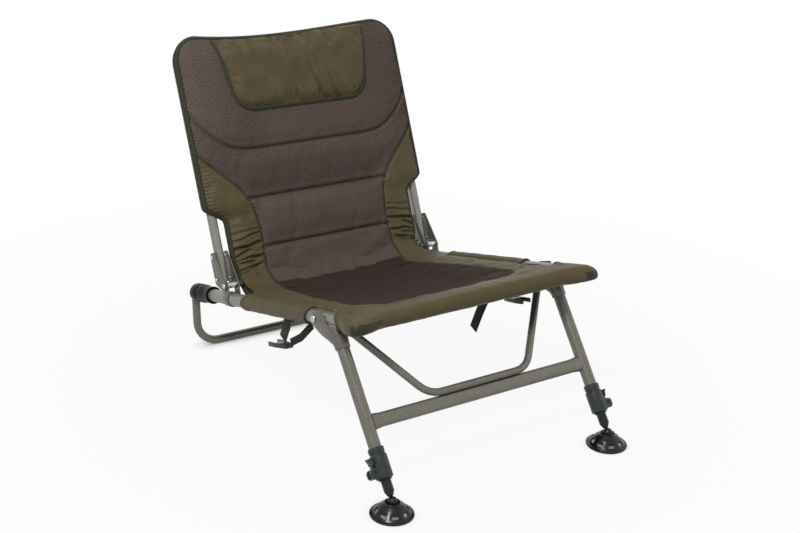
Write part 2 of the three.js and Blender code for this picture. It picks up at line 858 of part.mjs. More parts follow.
// Seat parts
for (const [name, side] of Object.entries(sides)) {
  const x = side * half;
  piece(seat, `hinge_saddle_${name}`, finishes.frame, hingeSaddle(side));
  piece(seat, `hinge_spacer_${name}`, finishes.steel, hingeSpacer(side));
  piece(seat, `rail_bush_${name}`, finishes.plastic, railBush(side));
  const reach = side * bracketHalfWidth;
  piece(seat, `pivot_bolt_${name}`, finishes.steel, bolt(x - reach, x + reach, pivotBoltRadius, 0, 0));
}
piece(seat, "seat_frame_tube", finishes.frame, seatFrameTube());
piece(seat, "seat_cover", finishes.nylon, seatCover());
piece(seat, "tie_tab_right", finishes.greenWebbing, tieTab("right"));
piece(seat, "tie_tab_left", finishes.webbing, tieTab("left"));
piece(seat, "tie_buckle_right", finishes.plastic, buckle("right", tabStart.right + tabRun - webWidth, 1));
piece(seat, "tie_buckle_left", finishes.plastic, buckle("left", tabStart.left + tabRun + webWidth, -1));
piece(seat, "tie_lead_right", finishes.webbing, tieLead());
piece(seat, "tie_tail_left", finishes.webbing, tieTail());

// Twist collar: a nose, a grooved grip and the exit for the rear bar
function twistCollar() {
  const bore = around(railRadius);
  const end = collarRear - collarFront;
  const stop = railLength + fit - collarFront;
  const outline = [
    [bore, 0],
    [collarLipRadius, 0],
    [collarLipRadius, collarLip],
    [collarNoseRadius, collarLip + collarGroove],
    [collarNoseRadius, collarTaperStart],
    [collarRadius, collarTaperEnd],
    [collarRadius, collarGrooveStart],
    [collarRadius - collarGroove, collarGrooveStart + collarGroove],
    [collarRadius - collarGroove, collarGrooveEnd],
    [collarRadius, collarGrooveEnd + collarGroove],
    [collarRadius, end - collarGroove],
    [collarRadius - collarGroove, end],
    [collarExitRadius, end],
    [collarExitRadius, stop],
    [bore, stop],
    [bore, 0],
  ];
  const body = turned(outline);
  const flutes = [];
  for (let k = 0; k < collarFlutes; k += 1) {
    const angle = (2 * PI * k) / collarFlutes;
    const reach = collarRadius + collarFluteRadius - collarFluteDepth;
    const place = (z) => at(reach * cos(angle), reach * sin(angle), z);
    const route = straight(place(collarTaperEnd), place(collarGrooveStart - collarGroove));
    flutes.push(tube(route, collarFluteRadius, 0, fluteSides));
  }
  return body.subtract(joined(flutes)).rotate([-90, 0, 0]);
}

for (const [name, side] of Object.entries(sides)) {
  const collar = piece(seat, `twist_collar_${name}`, finishes.plastic, twistCollar());
  collar.position.set(side * half, collarFront, 0);
}

// Rear bar: a tube that slides in both rails, bent down behind them to the ground
function rearBarTube() {
  const start = railLength - rearBarInside;
  const route = bentRoute([
    [at(-half, start, 0)],
    [at(-half, rearBarTop, 0), rearBarBend],
    [at(-half, rearBarFoot, -rearBarDrop), rearBarCorner],
    [at(half, rearBarFoot, -rearBarDrop), rearBarCorner],
    [at(half, rearBarTop, 0), rearBarBend],
    [at(half, start, 0)],
  ]);
  return tube(route, rearBarRadius, rearBarRadius - rearBarWall, slimSides, boreSides);
}

function rearBarBush(side) {
  const start = railLength - rearBarInside + bushInset;
  const route = straight(at(side * half, start, 0), at(side * half, start + bushLength, 0));
  return tube(route, railRadius - railWall - fit, around(rearBarRadius, slimSides), slimSides);
}

piece(seat, "rear_bar_tube", finishes.frame, rearBarTube());
for (const [name, side] of Object.entries(sides)) {
  piece(seat, `rear_bar_bush_${name}`, finishes.plastic, rearBarBush(side));
}

// Front legs, in the leg group: z runs up the leg from its pivot and y back from it

const legAt = (x, down, forward) => at(x, -forward, -down);

// A rounded rectangle of points round one station of the bracket.
function bracketSection(down, halfWidth, backFace, frontFace, radius) {
  const corner = min(radius, halfWidth, (frontFace - backFace) / 2) * fullRoundShare;
  const outline = rounded(
    [
      [-halfWidth, backFace, corner],
      [halfWidth, backFace, corner],
      [halfWidth, frontFace, corner],
      [-halfWidth, frontFace, corner],
    ],
    bracketCornerSteps,
  );
  return outline.map((p) => legAt(p.x, down, p.y));
}

// The bracket's outer or inner form: a round socket that swells into a flat-sided fork.
function bracketForm(inset) {
  const sections = bracketFlareShares.map((along, i) => {
    const width = mix(bracketSocketRadius, bracketHalfWidth, bracketWidthShares[i]) - inset;
    const backFace = legOffset - bracketSocketRadius - bracketBackSpan * bracketBackShares[i] + inset;
    const frontFace = legOffset + bracketSocketRadius + bracketRise * bracketBackShares[i] - inset;
    const radius = bracketSocketRadius * bracketRoundShares[i] - inset;
    return bracketSection(bracketLength * along, width, backFace, frontFace, radius);
  });
  const top = bracketSection(
    -bracketHeadRadius - bracketWall,
    bracketHalfWidth - inset,
    legOffset - bracketSocketRadius - bracketBackSpan + inset,
    legOffset + bracketSocketRadius + bracketRise - inset,
    bracketSocketRadius * bracketRoundShares.at(-1) - inset,
  );
  return loft([...sections, top]);
}

// The fork's side outline, forward and down from the pivot.
function bracketOutline(clearance) {
  const end = bracketLength + overrun;
  const back = legOffset - bracketSocketRadius - fit - clearance;
  const front = legOffset + bracketSocketRadius + fit + clearance;
  const head = bracketHeadRadius;
  const [bellyBack, bellyDown] = bracketBellyShares;
  const [lowBack, lowDown, highBack, highUp] = bracketHeadShares;
  const [lipAhead, lipDown] = bracketLipShares;
  const headRound = head * bracketHeadRoundShare;
  const corners = [
    [back, end],
    [back, bracketLength, head],
    [back - head * bellyBack, bracketLength * bellyDown, head],
    [-head * lowBack, head * lowDown, headRound],
    [-head * highBack, -head * highUp, headRound],
    [bracketLipForward, -bracketRise, bracketRise],
    [bracketLipForward + bracketRise * lipAhead, bracketShoulder * lipDown, head],
    [front, bracketShoulder, bracketRise],
    [front, end],
  ];
  return rounded(corners).map((p) => new THREE.Vector2(-p.x, -p.y));
}

function legBracket(side) {
  const x = side * half;
  const reach = bracketHalfWidth + overrun;
  const shell = bracketForm(0).intersect(plateX(bracketOutline(0), -reach, reach));
  const boreRadius = around(legRadius);
  const cut = bracketLength * 2;
  const socketEnd = block(-reach, reach, -cut, cut, -cut, 2 * bracketWall - bracketLength);
  const cavity = bracketForm(bracketWall).subtract(socketEnd);
  const boreEnd = legAt(0, bracketLength + overrun, legOffset);
  const bore = tube(straight(legAt(0, 0, legOffset), boreEnd), boreRadius);
  const gap = bracketHalfWidth - bracketWall;
  const clear = around(railRadius);
  const folded = block(-gap, gap, -clear, bracketBackSpan, -bracketLength - overrun, bracketLength);
  const standing = block(-gap, gap, -cut, cut, -clear, cut).rotate([legAngle, 0, 0]);
  const hole = barX(-reach, reach, 0, 0, around(pivotBoltRadius, boltSides), 0, boltSides);
  const lug = legAt(0, braceLugDown, braceLugForward);
  const lugHole = barX(-reach, reach, lug.y, lug.z, around(braceBoltRadius, boltSides), 0, boltSides);
  const inner = lugHole.intersect(block(0, -side * (reach + overrun), -cut, cut, -cut, cut));
  return moved(shell.subtract(joined([cavity, bore, folded, standing, hole, inner])), x, 0, 0);
}

const legRun = (x) => straight(legAt(x, legTop, legOffset), legAt(x, legBottom, legOffset));

const legTube = (side) => tube(legRun(side * half), legRadius, legRadius - legWall);

function crossbar() {
  const end = half - legRadius / 2;
  const waist = half - legRadius - crossbarFlareLength;
  const flareStart = half - legRadius - crossbarFlareLength / 4;
  const sections = [
    [-end, 1],
    [-flareStart, 0.5],
    [-waist, 0],
    [waist, 0],
    [flareStart, 0.5],
    [end, 1],
  ].map(([x, flareShare]) => {
    const flare = crossbarFlare * flareShare;
    const tall = crossbarHeight / 2 + flare;
    const deep = crossbarDepth / 2 + flare / 2;
    const outline = rounded([
      [-deep, -tall, deep * fullRoundShare],
      [deep, -tall, deep * fullRoundShare],
      [deep, tall, deep * fullRoundShare],
      [-deep, tall, deep * fullRoundShare],
    ], 4);
    return outline.map((p) => at(x, -legOffset + p.x, -crossbarDown + p.y));
  });
  const bores = [-half, half].map((x) => tube(legRun(x), around(legRadius)));
  return loft(sections).subtract(joined(bores));
}

// The brace lies on the crossbar's rounded top; both arms end in flat lugs on the brackets.
const braceBaseForward = legOffset + braceForward;
const crossbarRound = crossbarDown - crossbarHeight / 2 + crossbarDepth / 2;
const braceSeat = braceRadius + crossbarDepth / 2 + fit;
const braceBaseDown = crossbarRound - Math.sqrt(braceSeat ** 2 - braceForward ** 2);
const lugFace = half - bracketHalfWidth - fit;

// How far forward a brace arm lies, so far down the leg.
const braceLine = (down) =>
  mix(braceLugForward, braceBaseForward, share(down, braceLugDown, braceBaseDown));

// The neck between a round arm and its flat lug.
function braceNeck(side) {
  const turn = Math.atan2(half - braceNeckInset - braceHalfBase, braceBaseDown - braceNeckDown);
  const flatHalf = braceLugWall / 2;
  const wideHalf = braceLugNeckShare * braceLugRadius;
  const arm = [];
  const flat = [];
  for (let k = 0; k < slimSides; k += 1) {
    const angle = (2 * PI * (k + 0.5)) / slimSides;
    const across = cos(angle);
    const forward = sin(angle);
    const armX = half - braceNeckInset + braceRadius * across * cos(turn);
    const armDown = braceNeckDown + braceRadius * across * sin(turn);
    arm.push(legAt(side * armX, armDown, braceLine(braceNeckDown) + braceRadius * forward));
    const flatX = lugFace - flatHalf + flatHalf * across;
    flat.push(legAt(side * flatX, braceLugDown + braceLugFoot, braceLugForward + wideHalf * forward));
  }
  return loft([arm, flat]);
}

function braceLug(side) {
  const r = braceLugRadius;
  const foot = braceLugFoot + fit;
  const neck = braceLugNeckShare * r;
  const outline = rounded([
    [-r, r, braceLugRoundShare * r],
    [-neck, -foot],
    [neck, -foot],
    [r, r, braceLugRoundShare * r],
  ]);
  const lug = legAt(0, braceLugDown, braceLugForward);
  return moved(plateX(outline, side * (lugFace - braceLugWall), side * lugFace), 0, lug.y, lug.z);
}

function brace() {
  const end = half - braceNeckInset;
  const armForward = braceLine(braceNeckDown);
  const arm = tube(
    bentRoute([
      [legAt(-end, braceNeckDown, armForward)],
      [legAt(-braceHalfBase, braceBaseDown, braceBaseForward), braceBend],
      [legAt(braceHalfBase, braceBaseDown, braceBaseForward), braceBend],
      [legAt(end, braceNeckDown, armForward)],
    ]),
    braceRadius,
    0,
    slimSides,
  );
  const lug = legAt(0, braceLugDown, braceLugForward);
  const holes = barX(-half, half, lug.y, lug.z, around(braceBoltRadius, boltSides), 0, boltSides);
  return joined([arm, braceNeck(-1), braceNeck(1), braceLug(-1), braceLug(1)]).subtract(holes);
}

function braceBolt(side) {
  const lug = legAt(0, braceLugDown, braceLugForward);
  const inner = side * (lugFace - braceLugWall);
  return bolt(inner, side * (half - bracketHalfWidth + bracketWall), braceBoltRadius, lug.y, lug.z);
}

// Cam clamp, about the leg's axis with z up from its lower end
function clampBody(side) {
  const outline = [
    [0, 0],
    [clampRadius - clampLip, 0],
    [clampRadius, clampLip],
    [clampRadius, clampLength - clampRingHeight - 3 * clampLip],
    [clampNeckRadius, clampLength - clampRingHeight - clampLip],
    [clampNeckRadius, clampLength - clampRingHeight],
    [clampRingRadius, clampLength - clampRingHeight],
    [clampRingRadius, clampLength - clampLip],
    [clampRingRadius - clampLip, clampLength],
    [0, clampLength],
  ];
  const cheekOutline = rounded([
    [0, camPivotUp - cheekHeight / 2],
    [side * cheekReach, camPivotUp - cheekHeight / 2, camRadius],
    [side * cheekReach, camPivotUp + camRadius, camRadius],
    [0, camPivotUp + camRadius],
  ]);
  const width = camWidth / 2 + cheekThickness;
  const cheeks = plateZ(cheekOutline, -width, width).rotate([90, 0, 0]);
  const slot = camWidth / 2 + fit;
  const wall = innerLegRadius + fit + legWall;
  const room = camRadius + fit + clampLip;
  const open = side * (cheekReach + overrun);
  const pocket = block(side * wall, open, -slot, slot, camPivotUp - room, camPivotUp + room);
  const step = clampLength - (legBottom - clampTop) - fit;
  const outerBore = tube(straight(at(0, 0, step), at(0, 0, clampLength + overrun)), around(legRadius));
  const innerBore = tube(straight(at(0, 0, -overrun), at(0, 0, step + overrun)), around(innerLegRadius));
  const pinReach = width + overrun;
  const pinHole = tube(
    straight(at(side * camPivotOut, -pinReach, camPivotUp), at(side * camPivotOut, pinReach, camPivotUp)),
    around(camPinRadius, boltSides),
    0,
    boltSides,
  );
  return joined([turned(outline), cheeks]).subtract(joined([pocket, outerBore, innerBore, pinHole]));
}

// Cam lever about its pin, standing up along the clamp
function camLever(side) {
  const bossOutline = new THREE.Path().absarc(0, 0, camRadius, 0, 2 * PI).getPoints(tubeSides).slice(1);
  const face = side * (clampRadius + fit - camPivotOut);
  const back = face + side * leverThickness;
  // The wide blade starts beyond the cheeks' rounded corners, so that it swings past them.
  const cornerOut = cheekReach - camPivotOut - camRadius;
  const bladeStart = hypot(cornerOut, cheekHeight / 2 - camRadius) + camRadius + fit;
  const blade = [
    [face, bladeStart],
    [back, bladeStart],
    [back, leverLength - leverTipReach],
    [back + side * leverTipReach / 2, leverLength],
    [back, leverLength],
    [face, leverLength - leverTipReach],
  ].map(([x, z]) => new THREE.Vector2(x, z));
  const neck = [
    [face, 0],
    [side * camRadius, 0],
    [back, camRadius + clampLip + fit],
    [back, bladeStart + fit],
    [face, bladeStart + fit],
  ].map(([x, z]) => new THREE.Vector2(x, z));
  const upright = (outline, width) => plateZ(outline, -width / 2, width / 2).rotate([90, 0, 0]);
  const pin = tube(
    straight(at(0, -camWidth, 0), at(0, camWidth, 0)),
    around(camPinRadius, boltSides),
    0,
    boltSides,
  );
  const lever = [upright(bossOutline, camWidth), upright(neck, camWidth), upright(blade, leverWidth)];
  return joined(lever).subtract(pin);
}

function camPin() {
  const reach = camWidth / 2 + cheekThickness;
  return tube(straight(at(0, -reach, 0), at(0, reach, 0)), camPinRadius, 0, boltSides);
}

// Inner leg: a round bar with a coned tip over the ball
function innerLeg() {
  const recess = ballRadius + fit;
  const tipDown = ballDown - Math.sqrt(recess ** 2 - innerLegTipRadius ** 2);
  return turned(
    [
      [0, -(ballDown - recess)],
      [innerLegTipRadius, -tipDown],
      [innerLegRadius, -innerLegShoulder],
      [innerLegRadius, -innerLegTop - fit * 4],
      [innerLegRadius - fit * 4, -innerLegTop],
      [0, -innerLegTop],
    ],
    tubeSides,
  );
}

function stopRing() {
  const inner = around(innerLegRadius);
  return turned([
    [inner, 0],
    [stopRingRadius, 0],
    [stopRingRadius, stopRingHeight],
    [inner, stopRingHeight],
    [inner, 0],
  ]);
}

const ball = () => solid(new THREE.SphereGeometry(ballRadius, slimSides, slimSides / 2));

// Mud foot, about the ball's centre with z up
function mudFoot() {
  const ground = -ballHeight;
  const flange = footRadius - footFlangeWidth;
  const shoulder = ground + footConeRise;
  const crown = shoulder + footCrownRise;
  const hubTop = ground + ballHeight;
  const socket = ballRadius + fit;
  const outline = [
    [0, shoulder - footWall],
    [footShoulderRadius - footWall, shoulder - footWall],
    [flange, ground],
    [footRadius, ground],
    [footRadius, ground + footWall],
    [flange + footWall / 2, ground + footWall + footHubEdge],
    [footShoulderRadius, shoulder],
    [footHubRadius, crown],
    [footHubRadius, hubTop - footHubEdge],
    [footHubRadius - footHubEdge, hubTop],
  ];
  const rim = Math.asin(min(0, hubTop) / socket);
  for (let k = 0; k <= socketSteps; k += 1) {
    const angle = mix(rim, -PI / 2, k / socketSteps);
    outline.push([k === socketSteps ? 0 : socket * cos(angle), socket * sin(angle)]);
  }
  const windows = [];
  const middle = flange - footWindowWidth / 2 - footWall;
  for (let k = 0; k < footWindows; k += 1) {
    const window = block(
      middle - footWindowWidth / 2,
      middle + footWindowWidth / 2,
      -footWindowLength / 2,
      footWindowLength / 2,
      ground - overrun,
      shoulder,
    );
    windows.push(window.rotate([0, 0, (360 * (k + 0.5)) / footWindows]));
  }
  return turned(outline, footSides).subtract(joined(windows));
}

piece(legs, "crossbar", finishes.frame, crossbar());
piece(legs, "brace", finishes.frame, brace());
for (const [name, side] of Object.entries(sides)) {
  piece(legs, `leg_bracket_${name}`, finishes.frame, legBracket(side));
  piece(legs, `leg_tube_${name}`, finishes.frame, legTube(side));
  piece(legs, `brace_bolt_${name}`, finishes.steel, braceBolt(side));

  const clamp = new THREE.Group();
  clamp.name = `clamp_frame_${name}`;
  clamp.position.copy(legAt(side * half, clampTop + clampLength, legOffset));
  legs.add(clamp);
  piece(clamp, `clamp_body_${name}`, finishes.plastic, clampBody(side));

  const cam = new THREE.Group();
  cam.name = `cam_${name}`;
  cam.position.set(side * camPivotOut, 0, camPivotUp);
  clamp.add(cam);
  piece(cam, `cam_lever_${name}`, finishes.plastic, camLever(side));
  piece(cam, `cam_pin_${name}`, finishes.steel, camPin());

  const inner = piece(legs, `inner_leg_${name}`, finishes.plastic, innerLeg());
  inner.position.copy(legAt(side * half, 0, legOffset));
  const ring = piece(legs, `stop_ring_${name}`, finishes.steel, stopRing());
  ring.position.copy(legAt(side * half, clampTop + clampLength + stopRingHeight + fit, legOffset));

  const foot = new THREE.Group();
  foot.name = `foot_${name}`;
  foot.position.copy(legAt(side * half, ballDown, legOffset));
  foot.rotation.x = rake + tilt;
  legs.add(foot);
  piece(foot, `foot_ball_${name}`, finishes.plastic, ball());
  piece(foot, `mud_foot_${name}`, finishes.plastic, mudFoot());
}

// Backrest, in its own group: z runs up the back from the hinge and y behind it

const backTubeRoute = (start) =>
  bentRoute([
    [at(-backHalfWidth, backTubeBehind, start)],
    [at(-backHalfWidth, backTubeBehind, backTubeTop), backTubeCorner],
    [at(backHalfWidth, backTubeBehind, backTubeTop), backTubeCorner],
    [at(backHalfWidth, backTubeBehind, start)],
  ]);

function backFrameTube() {
  const hole = around(plateBoltRadius, boltSides);
  const reach = backHalfWidth + backTubeRadius + overrun;
  const heights = [plateBoltLow, plateBoltHigh];
  const bores = heights.map((z) => barX(-reach, reach, backTubeBehind, z, hole, 0, boltSides));
  const bore = backTubeRadius - backTubeWall;
  const frame = tube(backTubeRoute(backTubeStart), backTubeRadius, bore, tubeSides, boreSides);
  return frame.subtract(joined(bores));
}

// Where the hinge plates lie beside the saddle's ears.
const plateInner = earHalfGap + earWall + fit;
const plateOuter = plateInner + plateWall;

function hingePlate(side, direction) {
  const tubeRadius = plateTubeRadius;
  const outline = rounded([
    [-plateHingeRadius, -plateHingeRadius, plateHingeRadius * 0.9],
    [plateHingeRadius, -plateHingeRadius, plateHingeRadius],
    [backTubeBehind + tubeRadius, plateBoltLow - tubeRadius, tubeRadius],
    [backTubeBehind + tubeRadius, plateBoltHigh + tubeRadius, tubeRadius * 0.9],
    [backTubeBehind - tubeRadius, plateBoltHigh + tubeRadius, tubeRadius * 0.6],
  ]);
  const x = side * backHalfWidth;
  const plate = plateX(outline, x + direction * plateInner, x + direction * plateOuter);
  const reach = plateOuter + overrun;
  const holes = [
    [0, 0, hingeBoltRadius],
    [backTubeBehind, plateBoltLow, plateBoltRadius],
    [backTubeBehind, plateBoltHigh, plateBoltRadius],
  ].map(([y, z, radius]) => barX(x - reach, x + reach, y, z, around(radius, boltSides), 0, boltSides));
  return plate.subtract(joined(holes));
}

function hingeBolt(side) {
  const x = side * backHalfWidth;
  return bolt(x - side * plateOuter, x + side * plateOuter, hingeBoltRadius, 0, 0);
}

// The closed cap over the hinge bolt's nut, on the inner side.
function nutCap(side) {
  const nut = 1.8 * hingeBoltRadius;
  const depth = 0.9 * hingeBoltRadius;
  const bore = around(nut, boltSides);
  const outline = [
    [0, nutCapLength],
    [nutCapRadius * 0.6, nutCapLength],
    [nutCapRadius, nutCapLength * 0.7],
    [nutCapRadius, fit],
    [bore, fit],
    [bore, depth + fit],
    [0, depth + fit],
  ];
  const geometry = new THREE.LatheGeometry(outline.map(([r, h]) => new THREE.Vector2(r, h)), boltSides);
  geometry.rotateX(PI / 2);
  geometry.rotateY((-side * PI) / 2);
  return moved(solid(geometry), side * (backHalfWidth - plateOuter), 0, 0);
}

// Half the width of the pad at a height up the back.
function padHalf(z) {
  const foot = mix(padFoot, padWaist, ease(z, padFootHeight, padWaistStart));
  const body = mix(foot, padHalfWidth, ease(z, padWaistEnd, padSleeveStart));
  const above = z - (padTop - padCorner);
  const round = above > 0 ? padCorner - Math.sqrt(max(0, padCorner ** 2 - above ** 2)) : 0;
  return body - round;
}

// Where the seam of the side panel crosses a height, as a share of the half width.
const sideSeam = (z) => sideSeamShare + sideSeamSpread * ease(z, highSeam, sideSeamEnd);

// How far the foot of the pad curls forward at a height.
const padCurlAt = (z) => padCurl * (max(0, padCurlStart - z) / (padCurlStart + padDrop)) ** 2;

function padFace(across, z) {
  const crown = padCrown * (1 - across ** 2) * ease(z, 0, highSeam);
  const side = padEdgeRound * ease(abs(across), padEdgeStartShare, 1);
  const top = padEdgeRound * ease(z, padTop - padEdgeRound, padTop);
  return padFront + padCurlAt(z) + crown - max(side, top);
}

function padRear(across, z) {
  const reach = abs(across);
  const wide = ease(z, padWaistEnd, padSleeveStart);
  const rampStart = padSleeveStartShare - padSleeveRampShare;
  const tubeTop = backTubeTop - 2 * backTubeRadius;
  const sleeveSide = wide * ease(reach, rampStart, padSleeveStartShare);
  const sleeve = max(sleeveSide, ease(z, tubeTop - padCorner / 2, tubeTop));
  const edgeSide = wide * ease(reach, padRearEdgeShare, 1);
  const edge = max(edgeSide, ease(z, padTop - padEdgeRound / 2, padTop));
  return mix(padBack, padSleeveBack, sleeve) + padCurlAt(z) + (padEdgeRound / 2) * edge;
}

function backPad() {
  const seam = seamWidth / 2;
  const marks = [-padDrop, 0, padFootHeight, padWaistStart, padWaistEnd, sideSeamEnd, padTop - padCorner];
  marks.push(...[lowSeam, highSeam].flatMap((height) => [height - seam, height, height + seam]));
  marks.push(...padCornerShares.map((reach) => padTop - padCorner * (1 - reach)));
  marks.push(padTop - padEdgeRound, padTop - padEdgeRound / 3, padTop);
  marks.sort((a, b) => a - b);
  const rows = stations(marks, padRowStep);
  const face = [];
  const back = [];
  for (const z of rows) {
    const width = padHalf(z);
    const panel = sideSeam(z);
    const thin = seamWidth / 3 / width;
    const outer = padSideShares.map((part, i) => max(padSideLeastShares[i], mix(panel, 1, part)));
    const halfRow = [0, ...padMiddleShares.map((part) => part * panel), panel - thin, panel, ...outer, 1];
    const row = [...halfRow.slice(1).reverse().map((c) => -c), ...halfRow];
    const cross = abs(z - lowSeam) < seam / 2 || abs(z - highSeam) < seam / 2;
    const depth = (c) => {
      const sidewaysSeam = abs(abs(c) - panel) < thin / 2 && z < sideSeamEnd;
      return (cross && abs(c) < panel) || sidewaysSeam ? seamDepth : 0;
    };
    const dip = (c) => padTopDip * (1 - c ** 2) * share(z, padTop - padCorner, padTop);
    face.push(row.map((c) => at(c * width, -(padFace(c, z) - depth(c)), z - dip(c))));
    back.push(row.map((c) => at(c * width, -padRear(c, z), z - dip(c))));
  }
  const tunnel = tube(backTubeRoute(padWaistEnd - overrun), around(backTubeRadius));
  return padded(face, back).subtract(tunnel);
}

function headrestPad(pad) {
  const marks = [headrestBottom, headrestBottom + headrestEdge, headrestBottom + headrestCorner];
  const rows = stations([...marks, headrestTop - headrestEdge, headrestTop], headrestRowStep);
  const shares = [...headrestShares.map((part) => -part).reverse(), ...headrestShares];
  const face = [];
  const back = [];
  for (const z of rows) {
    const below = headrestBottom + headrestCorner - z;
    const round = below > 0 ? headrestCorner - Math.sqrt(max(0, headrestCorner ** 2 - below ** 2)) : 0;
    const width = mix(headrestHalfBottom, headrestHalfTop, share(z, headrestBottom, headrestTop)) - round;
    const low = ease(z, headrestBottom - headrestHem, headrestBottom + headrestEdge);
    const high = ease(headrestTop - z, -headrestEdge / 4, headrestEdge);
    const fullness = (c) => min(ease(1 - abs(c), 0, headrestEdgeShare), low, high);
    const front = (c) => mix(padFront + padCrown + headrestHem, headrestFront, fullness(c));
    face.push(shares.map((c) => at(c * width, -front(c), z)));
    back.push(shares.map((c) => at(c * width, -(padFront - headrestSink), z)));
  }
  return padded(face, back).subtract(moved(pad, 0, -fit, 0));
}

const pad = backPad();
piece(backrest, "back_frame_tube", finishes.frame, backFrameTube());
piece(backrest, "back_pad", finishes.nylon, pad);
piece(backrest, "headrest_pad", finishes.nylon, headrestPad(pad));
for (const [name, side] of Object.entries(sides)) {
  const x = side * backHalfWidth;
  piece(backrest, `hinge_plate_inner_${name}`, finishes.frame, hingePlate(side, -side));
  piece(backrest, `hinge_plate_outer_${name}`, finishes.frame, hingePlate(side, side));
  piece(backrest, `hinge_bolt_${name}`, finishes.steel, hingeBolt(side));
  piece(backrest, `nut_cap_${name}`, finishes.plastic, nutCap(side));
  for (const [level, z] of Object.entries({ low: plateBoltLow, high: plateBoltHigh })) {
    const shank = bolt(x - side * plateOuter, x + side * plateOuter, plateBoltRadius, backTubeBehind, z);
    piece(backrest, `plate_bolt_${level}_${name}`, finishes.steel, shank);
  }
}

// The chair stands on its feet over the middle of its footprint.
chair.updateMatrixWorld(true);
const bounds = new THREE.Box3().setFromObject(chair, true);
const footprint = bounds.getCenter(new THREE.Vector3());
seat.position.set(-footprint.x, -footprint.y, -bounds.min.z);

export default chair;
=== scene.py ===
"""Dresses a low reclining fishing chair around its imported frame.

Fabric, tubes, fittings and feet are built from named sizes in millimetres, each in the frame of the
assembly that carries it, and are then set in their place on the chair, in metres.
"""

from __future__ import annotations

import json
import logging
import math
from collections.abc import Callable, Iterator, Sequence
from contextlib import contextmanager
from dataclasses import dataclass, field
from enum import Enum

import bpy
import numpy as np
from mathutils import Matrix, Vector, noise
from mathutils.bvhtree import BVHTree

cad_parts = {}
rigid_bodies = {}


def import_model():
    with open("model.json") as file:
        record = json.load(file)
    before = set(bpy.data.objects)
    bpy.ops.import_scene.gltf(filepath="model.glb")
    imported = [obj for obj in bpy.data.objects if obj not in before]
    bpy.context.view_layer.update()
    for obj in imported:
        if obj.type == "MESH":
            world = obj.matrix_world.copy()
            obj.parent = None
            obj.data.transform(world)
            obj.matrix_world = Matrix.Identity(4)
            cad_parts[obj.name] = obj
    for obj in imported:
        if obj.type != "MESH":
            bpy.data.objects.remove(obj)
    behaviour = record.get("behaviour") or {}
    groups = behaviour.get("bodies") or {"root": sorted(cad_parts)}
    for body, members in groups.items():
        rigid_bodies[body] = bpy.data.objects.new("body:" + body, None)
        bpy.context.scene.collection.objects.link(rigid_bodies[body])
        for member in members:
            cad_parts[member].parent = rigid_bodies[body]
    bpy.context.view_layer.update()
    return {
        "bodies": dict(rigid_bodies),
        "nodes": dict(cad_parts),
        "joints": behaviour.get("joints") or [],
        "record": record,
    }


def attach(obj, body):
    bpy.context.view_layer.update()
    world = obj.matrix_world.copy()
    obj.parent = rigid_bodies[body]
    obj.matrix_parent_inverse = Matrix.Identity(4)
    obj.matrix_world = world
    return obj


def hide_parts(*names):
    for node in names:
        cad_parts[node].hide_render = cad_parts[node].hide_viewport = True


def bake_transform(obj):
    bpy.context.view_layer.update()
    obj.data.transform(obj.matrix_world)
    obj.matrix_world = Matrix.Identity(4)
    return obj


MM = 0.001
LOG = logging.getLogger("fishing_chair")

Profile = Sequence[tuple[float, float]]


# Small sums


def share(value: float, low: float, high: float) -> float:
    """Returns how far value lies from low to high, from 0 to 1."""
    return min(1.0, max(0.0, (value - low) / (high - low)))


def ease(value: float, low: float, high: float) -> float:
    """Returns share with a smooth start and end."""
    t = share(value, low, high)
    return t * t * (3 - 2 * t)


def ease_array(values: np.ndarray, low: float, high: float) -> np.ndarray:
    """Returns ease for each of many values."""
    t = np.clip((values - low) / (high - low), 0, 1)
    return t * t * (3 - 2 * t)


def mix(a: float, b: float, t: float) -> float:
    """Returns the value a share t of the way from a to b."""
    return a + (b - a) * t


def rounded_line(points: Profile, steps: int = 8) -> np.ndarray:
    """Draws a smooth line through points.

    Args:
        points: The places that the line passes, as pairs.
        steps: How many pieces each stretch gets.

    Returns:
        The line's points, one row each.
    """
    places = [points[0], *points, points[-1]]
    line = []
    for before, start, end, after in zip(places, places[1:], places[2:], places[3:]):
        b, s, e, a = (np.array(place, float) for place in (before, start, end, after))
        for t in np.arange(steps) / steps:
            bend = (2 * b - 5 * s + 4 * e - a) * t * t + (3 * s - b - 3 * e + a) * t**3
            line.append(0.5 * (2 * s + (e - b) * t + bend))
    line.append(np.array(points[-1], float))
    return np.array(line, float)


def distance_to_line(places: np.ndarray, line: np.ndarray) -> np.ndarray:
    """Measures how far each place lies from a line.

    Args:
        places: Places in the plane of the line, one row each.
        line: The points of the line, one row each.

    Returns:
        The distances, in the unit of the places.
    """
    best = np.full(len(places), 1e9)
    for start, end in zip(line, line[1:]):
        run = end - start
        t = np.clip(((places - start) @ run) / max(run @ run, 1e-12), 0, 1)
        best = np.minimum(best, np.linalg.norm(places - start - t[:, None] * run, axis=1))
    return best


def clamped(values: np.ndarray) -> np.ndarray:
    """Returns values kept between 0 and 1."""
    return np.clip(values, 0, 1)


def arc_drop(run: float, radius: float = 1.0) -> float:
    """Returns how far an arc has dropped from its crown at a distance along it."""
    return radius - math.sqrt(max(0.0, radius**2 - run**2))


def run_along(line: np.ndarray) -> np.ndarray:
    """Returns how far along a line each of its points lies."""
    return np.concatenate([[0], np.cumsum(np.linalg.norm(np.diff(line, axis=0), axis=1))])


def unit_rows(rows: np.ndarray) -> np.ndarray:
    """Returns each row at a length of one."""
    return rows / np.linalg.norm(rows, axis=1)[:, None]


def hump(values: np.ndarray, middle: float, width: float) -> np.ndarray:
    """Returns a soft hump, 1 at its middle and gone about two widths away."""
    return np.exp(-(((values - middle) / width) ** 2))


# Finishes

